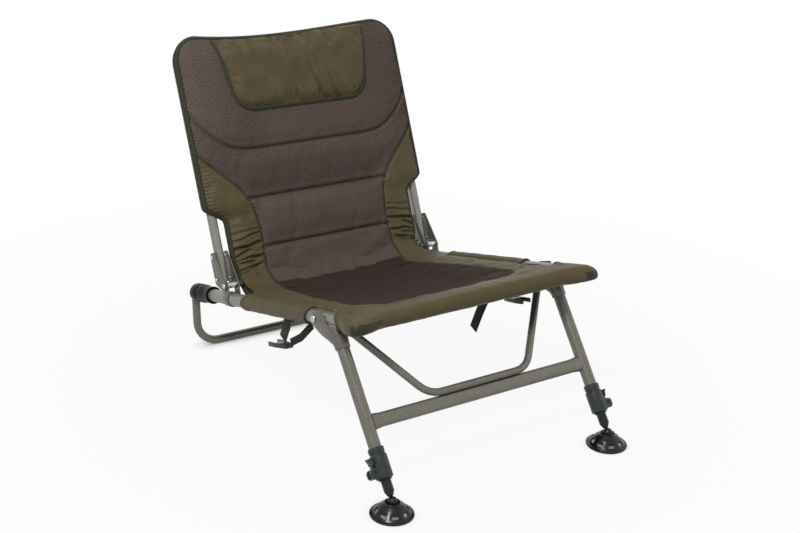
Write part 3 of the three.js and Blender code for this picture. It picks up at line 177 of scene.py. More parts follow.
Socket = bpy.types.NodeSocket
PER_METRE = 1000.0  # the scale of a pattern that repeats every millimetre


def linear(hex_colour: str) -> tuple[float, float, float, float]:
    """Turns an sRGB hex colour into the linear colour that Blender's shaders read.

    Args:
        hex_colour: Six hex digits.

    Returns:
        Red, green, blue and alpha.
    """
    parts = [int(hex_colour[i : i + 2], 16) / 255 for i in (0, 2, 4)]
    red, green, blue = (c / 12.92 if c <= 0.04045 else ((c + 0.055) / 1.055) ** 2.4 for c in parts)
    return (red, green, blue, 1.0)


def add_node(
    tree: bpy.types.NodeTree, kind: str, inputs: dict | None = None, **settings: object
) -> bpy.types.Node:
    """Adds one node with its settings, values and links.

    Args:
        tree: The node tree that it goes into.
        kind: The node's type.
        inputs: A value or another node's socket for each input, by name or number.
        settings: The node's own properties.

    Returns:
        The new node.
    """
    node = tree.nodes.new(kind)
    for name, value in settings.items():
        setattr(node, name, value)
    for name, value in (inputs or {}).items():
        if isinstance(value, bpy.types.NodeSocket):
            tree.links.new(value, node.inputs[name])
        else:
            node.inputs[name].default_value = value
    return node


class Weave(Enum):
    """How a ribbon is woven."""

    RIBBED = "ribbed"
    HERRINGBONE = "herringbone"


class Shading:
    """A material's nodes, with one short call for each kind."""

    def __init__(self, name: str, values: dict) -> None:
        """Makes a material with its Principled shader.

        Args:
            name: The material's name.
            values: The values of the shader's own sockets.
        """
        self.material = bpy.data.materials.new(name)
        self.material.use_nodes = True
        self.tree = self.material.node_tree
        self.tree.nodes.clear()
        self.shader = add_node(self.tree, "ShaderNodeBsdfPrincipled", values)
        add_node(self.tree, "ShaderNodeOutputMaterial", {"Surface": self.shader.outputs["BSDF"]})

    def on_object(self) -> Socket:
        """Returns the place on the piece."""
        return add_node(self.tree, "ShaderNodeTexCoord").outputs["Object"]

    def on_cloth(self) -> Socket:
        """Returns the place on the cloth, across and along it."""
        return add_node(self.tree, "ShaderNodeUVMap", uv_map="weave").outputs["UV"]

    def axes(self, place: Socket) -> tuple[Socket, Socket]:
        """Returns a place's first two numbers."""
        parts = add_node(self.tree, "ShaderNodeSeparateXYZ", {"Vector": place}).outputs
        return parts["X"], parts["Y"]

    def calc(self, operation: str, *values: float | Socket, clamp: bool = False) -> Socket:
        """Returns a sum of numbers or sockets."""
        kind = {"operation": operation, "use_clamp": clamp}
        return add_node(self.tree, "ShaderNodeMath", dict(enumerate(values)), **kind).outputs[0]

    def noise(
        self, place: Socket, scale: float, detail: float, rough: float = 0.5, twist: float = 0.0
    ) -> Socket:
        """Draws cloudy noise.

        Args:
            place: Where it is drawn.
            scale: How many clouds there are in a metre.
            detail: How many finer layers it has.
            rough: How strong these are.
            twist: How far the clouds are distorted.

        Returns:
            The noise.
        """
        values = {"Vector": place, "Scale": scale, "Detail": detail, "Roughness": rough, "Distortion": twist}
        return add_node(self.tree, "ShaderNodeTexNoise", values).outputs["Fac"]

    def ramp(self, value: Socket, low: float, high: float, start: float, end: float) -> Socket:
        """Returns a value's way from low to high turned into the way from start to end."""
        values = {"Value": value, "From Min": low, "From Max": high, "To Min": start, "To Max": end}
        return add_node(self.tree, "ShaderNodeMapRange", values).outputs["Result"]

    def blend(self, part: Socket, first: str | Socket, second: str | Socket) -> Socket:
        """Blends two colours.

        Args:
            part: The share of the second colour.
            first: A hex colour or a socket.
            second: A hex colour or a socket.

        Returns:
            The blended colour.
        """
        ends = [linear(colour) if isinstance(colour, str) else colour for colour in (first, second)]
        values = {"Factor": part, 6: ends[0], 7: ends[1]}
        return add_node(self.tree, "ShaderNodeMix", values, data_type="RGBA").outputs[2]

    def relief(
        self,
        height: Socket,
        strength: float,
        depth_mm: float,
        under: Socket | None = None,
        invert: bool = False,
    ) -> Socket:
        """Raises a relief.

        Args:
            height: The height, from 0 to 1.
            strength: How strongly it shows.
            depth_mm: How deep it is.
            under: Another relief that it lies on.
            invert: Whether it is pressed in.

        Returns:
            The normal.
        """
        values = {"Height": height, "Strength": strength, "Distance": depth_mm * MM}
        if under:
            values["Normal"] = under
        return add_node(self.tree, "ShaderNodeBump", values, invert=invert).outputs["Normal"]

    def lattice(self, place: Socket, pitches_mm: Sequence[float], wave: str) -> Socket:
        """Multiplies a wave across the cloth by one along it.

        Args:
            place: The place on the cloth.
            pitches_mm: The waves' lengths across and along it.
            wave: SINE or COSINE.

        Returns:
            The product, from -1 to 1.
        """
        turns = [
            self.calc("MULTIPLY", axis, 2 * math.pi * PER_METRE / pitch)
            for axis, pitch in zip(self.axes(place), pitches_mm)
        ]
        return self.calc("MULTIPLY", *(self.calc(wave, turn) for turn in turns))

    def finish(self, **links: Socket) -> bpy.types.Material:
        """Links the shader's sockets, each under its name with _ for a space, and returns the material."""
        for name, socket in links.items():
            self.tree.links.new(socket, self.shader.inputs[name.replace("_", " ")])
        return self.material


@dataclass(frozen=True)
class Finish:
    """What every finish has: a name, a colour and a gloss."""

    name: str
    colour: str
    roughness: float = 0.5
    metallic: float = 0.0
    specular: float = 0.5

    def shading(self, **more: float) -> Shading:
        """Starts the material.

        Args:
            more: Values of further sockets, each under its name with _ for a space.

        Returns:
            Its nodes.
        """
        values = {
            "Base Color": linear(self.colour),
            "Roughness": self.roughness,
            "Metallic": self.metallic,
            "Specular IOR Level": self.specular,
        }
        return Shading(self.name, values | {name.replace("_", " "): value for name, value in more.items()})


@dataclass(frozen=True)
class TubePaint(Finish):
    """Baked metallic paint on steel tube: fine flake under a satin film, a little orange peel."""

    flake_mm: float = 0.9
    flake_share: float = 0.5
    drift_scale: float = 14.0
    peel_mm: float = 5.0
    peel_depth_mm: float = 0.3
    light: str = "8a897c"

    def build(self) -> bpy.types.Material:
        """Returns the paint with its flake, slow drift of gloss and orange peel."""
        draw = self.shading()
        place = draw.on_object()
        flake = draw.noise(place, PER_METRE / self.flake_mm, 1.0, 0.6)
        drift = draw.noise(place, self.drift_scale, 2.0)
        peel = draw.noise(place, PER_METRE / self.peel_mm, 1.0)
        return draw.finish(
            Base_Color=draw.blend(
                draw.ramp(flake, 0.45, 0.8, 0.0, self.flake_share), self.colour, self.light
            ),
            Roughness=draw.ramp(drift, 0.3, 0.7, self.roughness - 0.05, self.roughness + 0.07),
            Normal=draw.relief(peel, 0.12, self.peel_depth_mm),
        )


@dataclass(frozen=True)
class PlatedSteel(Finish):
    """Zinc-plated steel of bolts and rings: bright, with a fine turned grain and cloudy gloss."""

    grain_mm: float = 1.2
    grain_depth_mm: float = 0.2

    def build(self) -> bpy.types.Material:
        """Returns the plating with cloudy roughness and a fine grain."""
        draw = self.shading()
        cloud = draw.noise(draw.on_object(), PER_METRE / self.grain_mm, 3.0, 0.6)
        return draw.finish(
            Roughness=draw.ramp(cloud, 0.3, 0.7, self.roughness - 0.08, self.roughness + 0.12),
            Normal=draw.relief(cloud, 0.1, self.grain_depth_mm),
        )


@dataclass(frozen=True)
class MouldedNylon(Finish):
    """Glass-filled nylon from a spark-textured mould: a fine matt grain with soft scuffs."""

    specular: float = 0.3
    grain_mm: float = 1.1
    grain_depth_mm: float = 0.3
    scuff: str = "4a4e50"
    scuff_scale: float = 90.0
    scuff_share: float = 0.45

    def build(self) -> bpy.types.Material:
        """Returns the plastic with its grain and its scuffs."""
        draw = self.shading()
        place = draw.on_object()
        grain = draw.noise(place, PER_METRE / self.grain_mm, 2.0)
        wear = draw.noise(place, self.scuff_scale, 4.0, 0.7)
        return draw.finish(
            Base_Color=draw.blend(
                draw.ramp(wear, 0.52, 0.75, 0.0, self.scuff_share), self.colour, self.scuff
            ),
            Normal=draw.relief(grain, 0.25, self.grain_depth_mm),
        )


@dataclass(frozen=True)
class WovenNylon(Finish):
    """Coated oxford nylon: a close plain weave with a faint satin sheen and cloudy dye."""

    specular: float = 0.25
    thread_mm: float = 1.6
    thread_depth_mm: float = 0.2
    shade: str = "463f2a"
    cloud_scale: float = 22.0
    sheen: float = 0.05
    sheen_roughness: float = 0.45
    crinkle_mm: float = 16.0
    crinkle_depth_mm: float = 2.2

    def build(self) -> bpy.types.Material:
        """Returns the cloth. Its thread is drawn about twice as coarse as real, so that it shows."""
        draw = self.shading(Sheen_Weight=self.sheen, Sheen_Roughness=self.sheen_roughness)
        place = draw.on_cloth()
        weave = draw.lattice(place, (self.thread_mm, self.thread_mm), "SINE")
        cloud = draw.noise(place, self.cloud_scale, 4.0, 0.6)
        slub = draw.calc("MULTIPLY_ADD", weave, 0.09, cloud)
        crinkle = draw.noise(place, PER_METRE / self.crinkle_mm, 3.0, 0.55, twist=0.6)
        soft = draw.relief(crinkle, 0.55, self.crinkle_depth_mm)
        return draw.finish(
            Base_Color=draw.blend(draw.ramp(slub, 0.3, 0.72, 0.75, 0.0), self.colour, self.shade),
            Normal=draw.relief(weave, 0.22, self.thread_depth_mm, under=soft),
        )


@dataclass(frozen=True)
class AirMesh(Finish):
    """Knitted spacer mesh: rows of small dark holes that open where it is stretched, in a matt yarn; the
    stretch attribute also carries painted shade, which opens the holes to draw the mesh darker.
    """

    specular: float = 0.2
    hole: str = "080504"
    hole_across_mm: float = 5.0
    hole_along_mm: float = 5.6
    hole_depth_mm: float = 1.2
    cloud_scale: float = 16.0
    yarn_light: str = "9a8b81"
    fleck_scale: float = 700.0
    fleck_share: float = 0.75
    taut_share: float = 0.16

    def build(self) -> bpy.types.Material:
        """Returns the mesh with its holes, yarn flecks and relief."""
        draw = self.shading()
        place = draw.on_cloth()
        lattice = draw.lattice(place, (self.hole_across_mm, self.hole_along_mm), "COSINE")
        # stretch holds real stretch at the pad's corners and painted shade: a band above the high seam whose
        # holes open to darken it.
        stretch = add_node(draw.tree, "ShaderNodeAttribute", attribute_name="stretch").outputs["Fac"]
        cloud = draw.ramp(draw.noise(place, self.cloud_scale, 3.0, 0.6), 0.3, 0.7, 0.5, 0.8)
        hole = draw.ramp(lattice, 0.1, 0.45, 0.0, 1.0)
        depth = draw.calc("MULTIPLY", hole, draw.calc("ADD", cloud, stretch, clamp=True))
        fleck = draw.ramp(draw.noise(place, self.fleck_scale, 2.0, 0.7), 0.42, 0.72, 0.0, self.fleck_share)
        taut = draw.ramp(stretch, 1.0, 2.0, 0.0, self.taut_share)
        yarn = draw.blend(draw.calc("ADD", fleck, taut, clamp=True), self.colour, self.yarn_light)
        return draw.finish(
            Base_Color=draw.blend(depth, yarn, self.hole),
            Normal=draw.relief(hole, 0.8, self.hole_depth_mm, invert=True),
        )


@dataclass(frozen=True)
class Ribbon(Finish):
    """Woven tape or strap webbing: ribs across it and, on a binding, a line of stitches by its edge."""

    specular: float = 0.25
    weave: Weave = Weave.RIBBED
    slant: float = 0.8
    rib_mm: float = 1.8
    rib_depth_mm: float = 0.3
    shade: str = "24261b"
    stitch: str | None = None
    stitch_mm: tuple[float, float] = (2.4, 3.6)
    stitch_half_mm: float = 0.3
    stitch_from_edge_mm: float = 1.6
    half_width_mm: float = 4.0

    def build(self) -> bpy.types.Material:
        """Returns the ribbon. Its ribs are drawn coarser than real, so that they show."""
        draw = self.shading()
        across, along = draw.axes(draw.on_cloth())
        aside = draw.calc("ABSOLUTE", across)
        slant = self.slant if self.weave is Weave.HERRINGBONE else 0.0
        slanted = draw.calc("MULTIPLY_ADD", aside, slant, along)
        turn = draw.calc("MULTIPLY", slanted, 2 * math.pi * PER_METRE / self.rib_mm)
        rib = draw.calc("SINE", turn)
        colour = draw.blend(draw.ramp(rib, -1.0, 0.6, 0.8, 0.0), self.colour, self.shade)
        if self.stitch:
            offset = (self.half_width_mm - self.stitch_from_edge_mm) * MM
            near = draw.calc("COMPARE", aside, offset, self.stitch_half_mm * MM)
            length, pitch = (size * MM for size in self.stitch_mm)
            dash = draw.calc("LESS_THAN", draw.calc("MODULO", along, pitch), length)
            colour = draw.blend(draw.calc("MULTIPLY", near, dash), colour, self.stitch)
        return draw.finish(Base_Color=colour, Normal=draw.relief(rib, 0.35, self.rib_depth_mm))


class FinishBook:
    """The chair's finishes, each made once."""

    def __init__(self) -> None:
        """Makes every material."""
        self.paint = TubePaint("metallic_tube_paint", "625f55", 0.3, 0.3, light="c2c0b4").build()
        # The rails and the back tube get a lighter paint: partly their own lighter, more silvery finish,
        # partly painted light where these tubes catch more light.
        self.bright_paint = TubePaint("bright_tube_paint", "7c7b72", 0.3, 0.4, light="ceccc4").build()
        self.cast_paint = TubePaint("metallic_pressing_paint", "5a574d", 0.3, 0.3, light="aaa89c").build()
        self.steel = PlatedSteel("zinc_plated_steel", "bdbdb8", 0.26, 1.0).build()
        self.dark_steel = PlatedSteel("blackened_steel", "2d2f30", 0.35, 1.0).build()
        self.plastic = MouldedNylon("black_moulded_nylon", "303436", 0.28).build()
        self.foot_plastic = MouldedNylon("glossy_foot_moulding", "0c0e0f", 0.24, scuff="1b1e20").build()
        self.leg_plastic = MouldedNylon("inner_leg_moulding", "16181a", 0.24).build()
        collar = {"specular": 0.1, "grain_mm": 1.6, "scuff": "151616"}
        self.rubbery = MouldedNylon("dark_collar_moulding", "090a0a", 0.36, **collar).build()
        self.nylon = WovenNylon("olive_oxford_nylon", "5a5033", 0.52).build()
        self.head_nylon = WovenNylon("olive_brown_headrest_nylon", "5b5136", 0.54, shade="423922").build()
        self.patch_nylon = WovenNylon("dark_green_corner_nylon", "34321f", 0.5, shade="242214").build()
        self.mesh = AirMesh("brown_grey_spacer_mesh", "54463f", 0.8).build()
        # Painted shade: the seat's spacer mesh is the same mesh drawn darker and browner, standing in for the
        # shade on the seat and on the lower half of the fold.
        seat = {"hole": "060403", "yarn_light": "54443d"}
        self.shaded_seat_mesh = AirMesh("shaded_seat_spacer_mesh", "362823", 0.85, **seat).build()
        self.binding = Ribbon("dark_green_binding_tape", "353828", 0.7, stitch="53553e").build()
        strap = {"roughness": 0.75, "weave": Weave.HERRINGBONE}
        self.webbing = Ribbon("black_strap_webbing", "1d1c1b", shade="0f0e0e", **strap).build()
        self.green_webbing = Ribbon("dark_green_strap_webbing", "3d3f31", shade="292a20", **strap).build()


# Places on the chair


@dataclass(frozen=True)
class Datum:
    """The frame of one assembly: its origin and its backward and upward axes."""

    origin: Vector
    back: Vector
    up: Vector

    def matrix(self) -> Matrix:
        """Returns the matrix from this frame, in metres, to the chair's own."""
        turn = Matrix((Vector((1, 0, 0)), self.back, self.up)).transposed().to_4x4()
        turn.translation = self.origin
        return turn

    def leaning(self, degrees: float, origin: Vector) -> Datum:
        """Returns this frame moved to an origin and leaned back by an angle."""
        angle = math.radians(degrees)
        up = self.up * math.cos(angle) + self.back * math.sin(angle)
        back = self.back * math.cos(angle) - self.up * math.sin(angle)
        return Datum(origin, back, up)


BACK_LEAN = 8.66


class Layout:
    """Where the chair's assemblies stand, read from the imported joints."""

    def __init__(self, joints: Sequence[dict]) -> None:
        """Reads the frames of the seat, the legs and the back.

        Args:
            joints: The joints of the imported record.
        """
        known = {joint["name"]: joint for joint in joints}
        pivot = Vector(known["leg_fold"]["pos_m"])
        back = Vector(known["rear_bar_slide"]["axis"]).normalized()
        self.seat = Datum(pivot, back, Vector((1, 0, 0)).cross(back))
        leg_up = -Vector(known["leg_extend_left"]["axis"]).normalized()
        self.legs = Datum(pivot, leg_up.cross(Vector((1, 0, 0))), leg_up)
        self.backrest = self.seat.leaning(BACK_LEAN, Vector(known["backrest_recline"]["pos_m"]))


# Workshop: how meshes are made

MERGE_GAP = 1e-6
COPY_MERGE_GAP = 2e-5
FLAT_DEGREES = 1.5
SHEET_MM = 1.1
FOLD_MM = 1.6


def clear_selection() -> None:
    """Leaves edit mode and deselects everything."""
    if bpy.context.object and bpy.context.object.mode != "OBJECT":
        bpy.ops.object.mode_set(mode="OBJECT")
    bpy.ops.object.select_all(action="DESELECT")


def make_active(obj: bpy.types.Object) -> None:
    """Selects one object alone and makes it the active one."""
    clear_selection()
    obj.select_set(True)
    bpy.context.view_layer.objects.active = obj


@contextmanager
def editing(obj: bpy.types.Object) -> Iterator[None]:
    """Opens a piece in edit mode with its whole mesh selected, and closes it again."""
    make_active(obj)
    bpy.ops.object.mode_set(mode="EDIT")
    bpy.ops.mesh.select_all(action="SELECT")
    yield
    bpy.ops.object.mode_set(mode="OBJECT")


def apply_modifier(obj: bpy.types.Object, kind: str, **settings: object) -> None:
    """Adds a modifier with its settings and applies it.

    Args:
        obj: The piece.
        kind: The modifier's type.
        settings: Its properties.
    """
    make_active(obj)
    modifier = obj.modifiers.new(kind.lower(), kind)
    for name, value in settings.items():
        setattr(modifier, name, value)
    bpy.ops.object.modifier_apply(modifier=modifier.name)


def smooth(obj: bpy.types.Object, degrees: float = 35.0) -> None:
    """Shades a piece smooth but for edges sharper than an angle."""
    make_active(obj)
    bpy.ops.object.shade_smooth_by_angle(angle=math.radians(degrees), keep_sharp_edges=False)


def place(obj: bpy.types.Object, datum: Datum) -> None:
    """Bakes a piece's place on the chair into its mesh.

    Args:
        obj: The piece, in metres, in the frame of its assembly.
        datum: The assembly's frame.
    """
    obj.data.transform(datum.matrix())
    obj.data.update()


def dress(obj: bpy.types.Object, *materials: bpy.types.Material) -> None:
    """Gives a piece its materials."""
    obj.data.materials.clear()
    for material in materials:
        obj.data.materials.append(material)


def recalculate_normals(obj: bpy.types.Object) -> None:
    """Merges a closed mesh's doubles and turns its faces outward."""
    with editing(obj):
        bpy.ops.mesh.remove_doubles(threshold=MERGE_GAP)
        bpy.ops.mesh.normals_make_consistent(inside=False)


def bent_tube(
    name: str,
    stops: Sequence[tuple[Sequence[float], float]],
    radius: float,
    wall: float = 0.0,
    sides: int = 32,
    steps: int = 12,
) -> bpy.types.Object:
    """Bends a tube: a ring is extruded along each straight and spun round each bend.

    Args:
        name: The piece's name.
        stops: The corners of the centre line, in millimetres, each with its bend radius.
        radius: The tube's outer radius.
        wall: Its wall, or 0 for a closed rod.
        sides: Faces round the tube.
        steps: Faces along each bend.

    Returns:
        The tube, in metres.
    """
    places = [Vector(point) * MM for point, _ in stops]
    turns = [bend * MM for _, bend in stops]
    first = (places[1] - places[0]).normalized()
    clear_selection()
    bpy.ops.mesh.primitive_circle_add(
        vertices=sides,
        radius=radius * MM,
        fill_type="NOTHING" if wall else "NGON",
        location=places[0],
        rotation=first.to_track_quat("Z", "Y").to_euler(),
    )
    tube = bpy.context.object
    tube.name = name
    bpy.ops.object.transform_apply(location=True, rotation=True, scale=True)
    with editing(tube):
        here = places[0]
        for index in range(1, len(places)):
            ahead = (places[index] - places[index - 1]).normalized()
            cut = 0.0
            if index < len(places) - 1 and turns[index]:
                onward = (places[index + 1] - places[index]).normalized()
                angle = ahead.angle(onward)
                cut = turns[index] * math.tan(angle / 2)
            target = places[index] - ahead * cut
            bpy.ops.mesh.extrude_region_move(TRANSFORM_OT_translate={"value": target - here})
            here = target
            if cut:
                axis = ahead.cross(onward).normalized()
                centre = here + axis.cross(ahead) * turns[index]
                bpy.ops.mesh.spin(steps=steps, angle=angle, center=centre, axis=-axis)
                here = places[index] + onward * cut
    recalculate_normals(tube)
    if wall:
        apply_modifier(tube, "SOLIDIFY", thickness=wall * MM, offset=-1.0, use_rim=True)
    smooth(tube)
    return tube


def finished_copy(
    name: str, node: bpy.types.Object, bevel: float = 0.4, angle: float = 32.0
) -> bpy.types.Object:
    """Copies a CAD node's mesh, merges it, rounds its edges and shades it smooth.

    Args:
        name: The piece's name.
        node: The CAD node's object.
        bevel: The edges' round, in millimetres, or 0.
        angle: Edges sharper than this are rounded, in degrees.

    Returns:
        The copy, in its place on the chair.
    """
    copy = bpy.data.objects.new(name, node.data.copy())
    bpy.context.scene.collection.objects.link(copy)
    copy.data.transform(node.matrix_world)
    with editing(copy):
        bpy.ops.mesh.remove_doubles(threshold=COPY_MERGE_GAP)
        bpy.ops.mesh.dissolve_limited(angle_limit=math.radians(FLAT_DEGREES))
    if bevel:
        apply_modifier(
            copy,
            "BEVEL",
            width=bevel * MM,
            segments=2,
            limit_method="ANGLE",
            angle_limit=math.radians(angle),
            use_clamp_overlap=True,
            harden_normals=False,
        )
    smooth(copy, angle)
    return copy


# Cloth


def woven(
    name: str, rings: np.ndarray, weave: np.ndarray, round_trip: bool, ends: bool
) -> bpy.types.Object:
    """Makes a fabric mesh from rows of places.

    Args:
        name: The piece's name.
        rings: The rows, each with its places in millimetres.
        weave: The weave coordinates of each place, in millimetres.
        round_trip: Whether each row closes on itself, front and back as one ring.
        ends: Whether the first and last rows are closed across, on a padded form.

    Returns:
        The mesh, in metres, with a weave map in metres.
    """
    count, around = rings.shape[:2]
    faces, corners = [], []
    last = around if round_trip else around - 1
    for i in range(count - 1):
        for j in range(last):
            k = (j + 1) % around
            faces.append((i * around + j, i * around + k, (i + 1) * around + k, (i + 1) * around + j))
            corners.append(((i, j), (i, j + 1), (i + 1, j + 1), (i + 1, j)))
    if ends:
        half = around // 2
        for i, turn in ((0, True), (count - 1, False)):
            for j in range(half - 1):
                ring = [j, j + 1, around - 2 - j, around - 1 - j]
                ring = ring[::-1] if turn else ring
                faces.append(tuple(i * around + k for k in ring))
                corners.append(tuple((i, k) for k in ring))
    mesh = bpy.data.meshes.new(name)
    mesh.from_pydata((rings.reshape(-1, 3) * MM).tolist(), [], faces)
    extra = weave.shape[1] > around
    values = [weave[i, j if extra else j % around] * MM for face in corners for i, j in face]
    mesh.uv_layers.new(name="weave").data.foreach_set("uv", np.array(values, np.float32).ravel())
    mesh.update()
    obj = bpy.data.objects.new(name, mesh)
    bpy.context.scene.collection.objects.link(obj)
    return obj


def flat_weave(across: Sequence[float], along: np.ndarray) -> np.ndarray:
    """Returns weave coordinates for rows of places.

    Args:
        across: The coordinate of each place in a row.
        along: The coordinate of each row.

    Returns:
        Both coordinates of each place.
    """
    weave = np.zeros((len(along), len(across), 2))
    weave[..., 0] = across
    weave[..., 1] = along[:, None]
    return weave


def padded_form(name: str, face: np.ndarray, rear: np.ndarray) -> bpy.types.Object:
    """Closes a face and a rear of the same grid into one padded form.

    Args:
        name: The piece's name.
        face: The rows of the face, in millimetres.
        rear: The rows of the rear.

    Returns:
        The form, with a weave map that follows its width and height.
    """
    rings = np.concatenate([face, rear[:, ::-1]], axis=1)
    upright = np.ptp(rings[..., 2]) >= np.ptp(rings[..., 1])
    weave = np.stack([rings[..., 0], rings[..., 2 if upright else 1]], axis=-1)
    form = woven(name, rings, weave, round_trip=True, ends=True)
    recalculate_normals(form)
    return form


def read_vertices(obj: bpy.types.Object, what: str) -> np.ndarray:
    """Returns one property of all a mesh's vertices, three numbers each."""
    values = np.empty(len(obj.data.vertices) * 3, np.float32)
    obj.data.vertices.foreach_get(what, values)
    return values.reshape(-1, 3).astype(float)


def places_of(obj: bpy.types.Object) -> np.ndarray:
    """Returns the places of a mesh's vertices, in millimetres."""
    return read_vertices(obj, "co") / MM


def move_to(obj: bpy.types.Object, places: np.ndarray) -> None:
    """Moves a mesh's vertices to places in millimetres."""
    obj.data.vertices.foreach_set("co", (places * MM).astype(np.float32).ravel())
    obj.data.update()


def normals_of(obj: bpy.types.Object) -> np.ndarray:
    """Returns the normals of a mesh's vertices."""
    return read_vertices(obj, "normal")


CLOTH_SETTINGS = {
    "quality": 5,
    "mass": 0.3,
    "tension_stiffness": 12,
    "compression_stiffness": 8,
    "shear_stiffness": 5,
    "bending_stiffness": 0.4,
    "use_pressure": True,
    "shrink_min": -0.02,
}


def billow(
    obj: bpy.types.Object, held: np.ndarray, pressure: float, cap: float, frames: int = 20
) -> None:
    """Fills a padded form by cloth simulation, held along its seams.

    Args:
        obj: The form, in metres.
        held: How firmly each vertex is held, from 0 to 1.
        pressure: The pressure inside it.
        cap: The furthest that a point may move, in millimetres.
        frames: How many frames the simulation runs.
    """
    scene = bpy.context.scene
    before = places_of(obj)
    group = obj.vertex_groups.new(name="held")
    for index, weight in enumerate(held):
        if weight > 0:
            group.add([index], float(weight), "REPLACE")
    make_active(obj)
    cloth = obj.modifiers.new("cloth", "CLOTH")
    cloth.point_cache.frame_start = 1
    cloth.point_cache.frame_end = frames
    for name, value in CLOTH_SETTINGS.items():
        setattr(cloth.settings, name, value)
    cloth.settings.uniform_pressure_force = pressure
    cloth.settings.effector_weights.gravity = 0
    cloth.settings.vertex_group_mass = group.name
    for step in range(1, frames + 1):
        scene.frame_set(step)
    bpy.ops.object.modifier_apply(modifier=cloth.name)
    scene.frame_set(1)
    move = places_of(obj) - before
    length = np.linalg.norm(move, axis=1)
    length[length == 0] = 1
    move *= np.minimum(1, cap / length)[:, None]
    move_to(obj, before + move)
    obj.vertex_groups.clear()


def ripple(places: np.ndarray, scale: float, seed: float) -> np.ndarray:
    """Draws smooth noise at each place, the same on every run.

    Args:
        places: Places in millimetres, two or three numbers each.
        scale: The size of the ripples.
        seed: Which noise.

    Returns:
        Values from -1 to 1.
    """
    flat = np.zeros((len(places), 3))
    flat[:, : places.shape[1]] = places / scale
    flat[:, 2] += seed
    return np.array([noise.noise(Vector(row)) for row in flat])


def ribbon(
    name: str,
    line: np.ndarray,
    normals: np.ndarray,
    width: float,
    thickness: float,
    sunk: float = 0.6,
    closed: bool = False,
) -> bpy.types.Object:
    """Lays a ribbon along a line.

    Args:
        name: The piece's name.
        line: The ribbon's middle line on the cloth, in millimetres.
        normals: The cloth's normal at each place.
        width: Its width.
        thickness: How far it stands off the cloth.
        sunk: How far its edges and its back press into the cloth.
        closed: Whether its ends meet.

    Returns:
        The ribbon, in metres, with a weave map across and along it.
    """
    if closed:
        line = np.vstack([line, line[:1]])
        normals = np.vstack([normals, normals[:1]])
    ahead = np.gradient(line, axis=0)
    if closed:
        ahead[0] = ahead[-1] = line[1] - line[-2]
    ahead = unit_rows(ahead)
    across = unit_rows(np.cross(ahead, normals))
    up = np.cross(across, ahead)
    half = width / 2
    section = [
        (-half, -sunk),
        (-half + 0.25, 0.55 * thickness),
        (-half + 0.9, thickness),
        (0, thickness + 0.08 * half),
        (half - 0.9, thickness),
        (half - 0.25, 0.55 * thickness),
        (half, -sunk),
        (0, -sunk - 0.2),
    ]
    rings = np.stack([line + across * a + up * h for a, h in section], axis=1)
    weave = flat_weave([a for a, _ in section], run_along(line))
    piece = woven(name, rings, weave, round_trip=True, ends=False)
    if closed:
        recalculate_normals(piece)
    else:
        with editing(piece):
            bpy.ops.mesh.fill_holes(sides=0)
            bpy.ops.mesh.normals_make_consistent(inside=False)
    smooth(piece, 40)
    return piece


class Surface:
    """A fabric surface that tapes and seams are laid on, in the frame of its assembly."""

    def __init__(self, obj: bpy.types.Object, toward: Vector) -> None:
        """Reads a piece's surface.

        Args:
            obj: The piece, in metres.
            toward: The direction in which places are dropped on it.
        """
        self.toward = toward
        mesh = obj.data
        self.tree = BVHTree.FromPolygons(
            [v.co.copy() for v in mesh.vertices], [tuple(p.vertices) for p in mesh.polygons]
        )

    def drop(self, points: np.ndarray, smoothing: int = 3) -> tuple[np.ndarray, np.ndarray]:
        """Drops places on the surface.

        Args:
            points: Places in front of the surface, in millimetres.
            smoothing: How often the normals and the heights are evened out.

        Returns:
            The places on the surface, and the smoothed normals there.
        """
        found, normals = [], []
        for point in points:
            hit, normal, _, _ = self.tree.ray_cast(Vector(point) * MM, self.toward)
            if hit is None:
                hit, normal, _, _ = self.tree.find_nearest(Vector(point) * MM)
            if normal.dot(self.toward) > 0:
                normal = -normal
            found.append(np.array(hit) / MM)
            normals.append(np.array(normal))
        places, facing = np.array(found), np.array(normals)
        for _ in range(smoothing):
            facing[1:-1] = (facing[:-2] + 2 * facing[1:-1] + facing[2:]) / 4
            places[1:-1] = (places[:-2] + 4 * places[1:-1] + places[2:]) / 6
        facing /= np.linalg.norm(facing, axis=1)[:, None]
        return places, facing


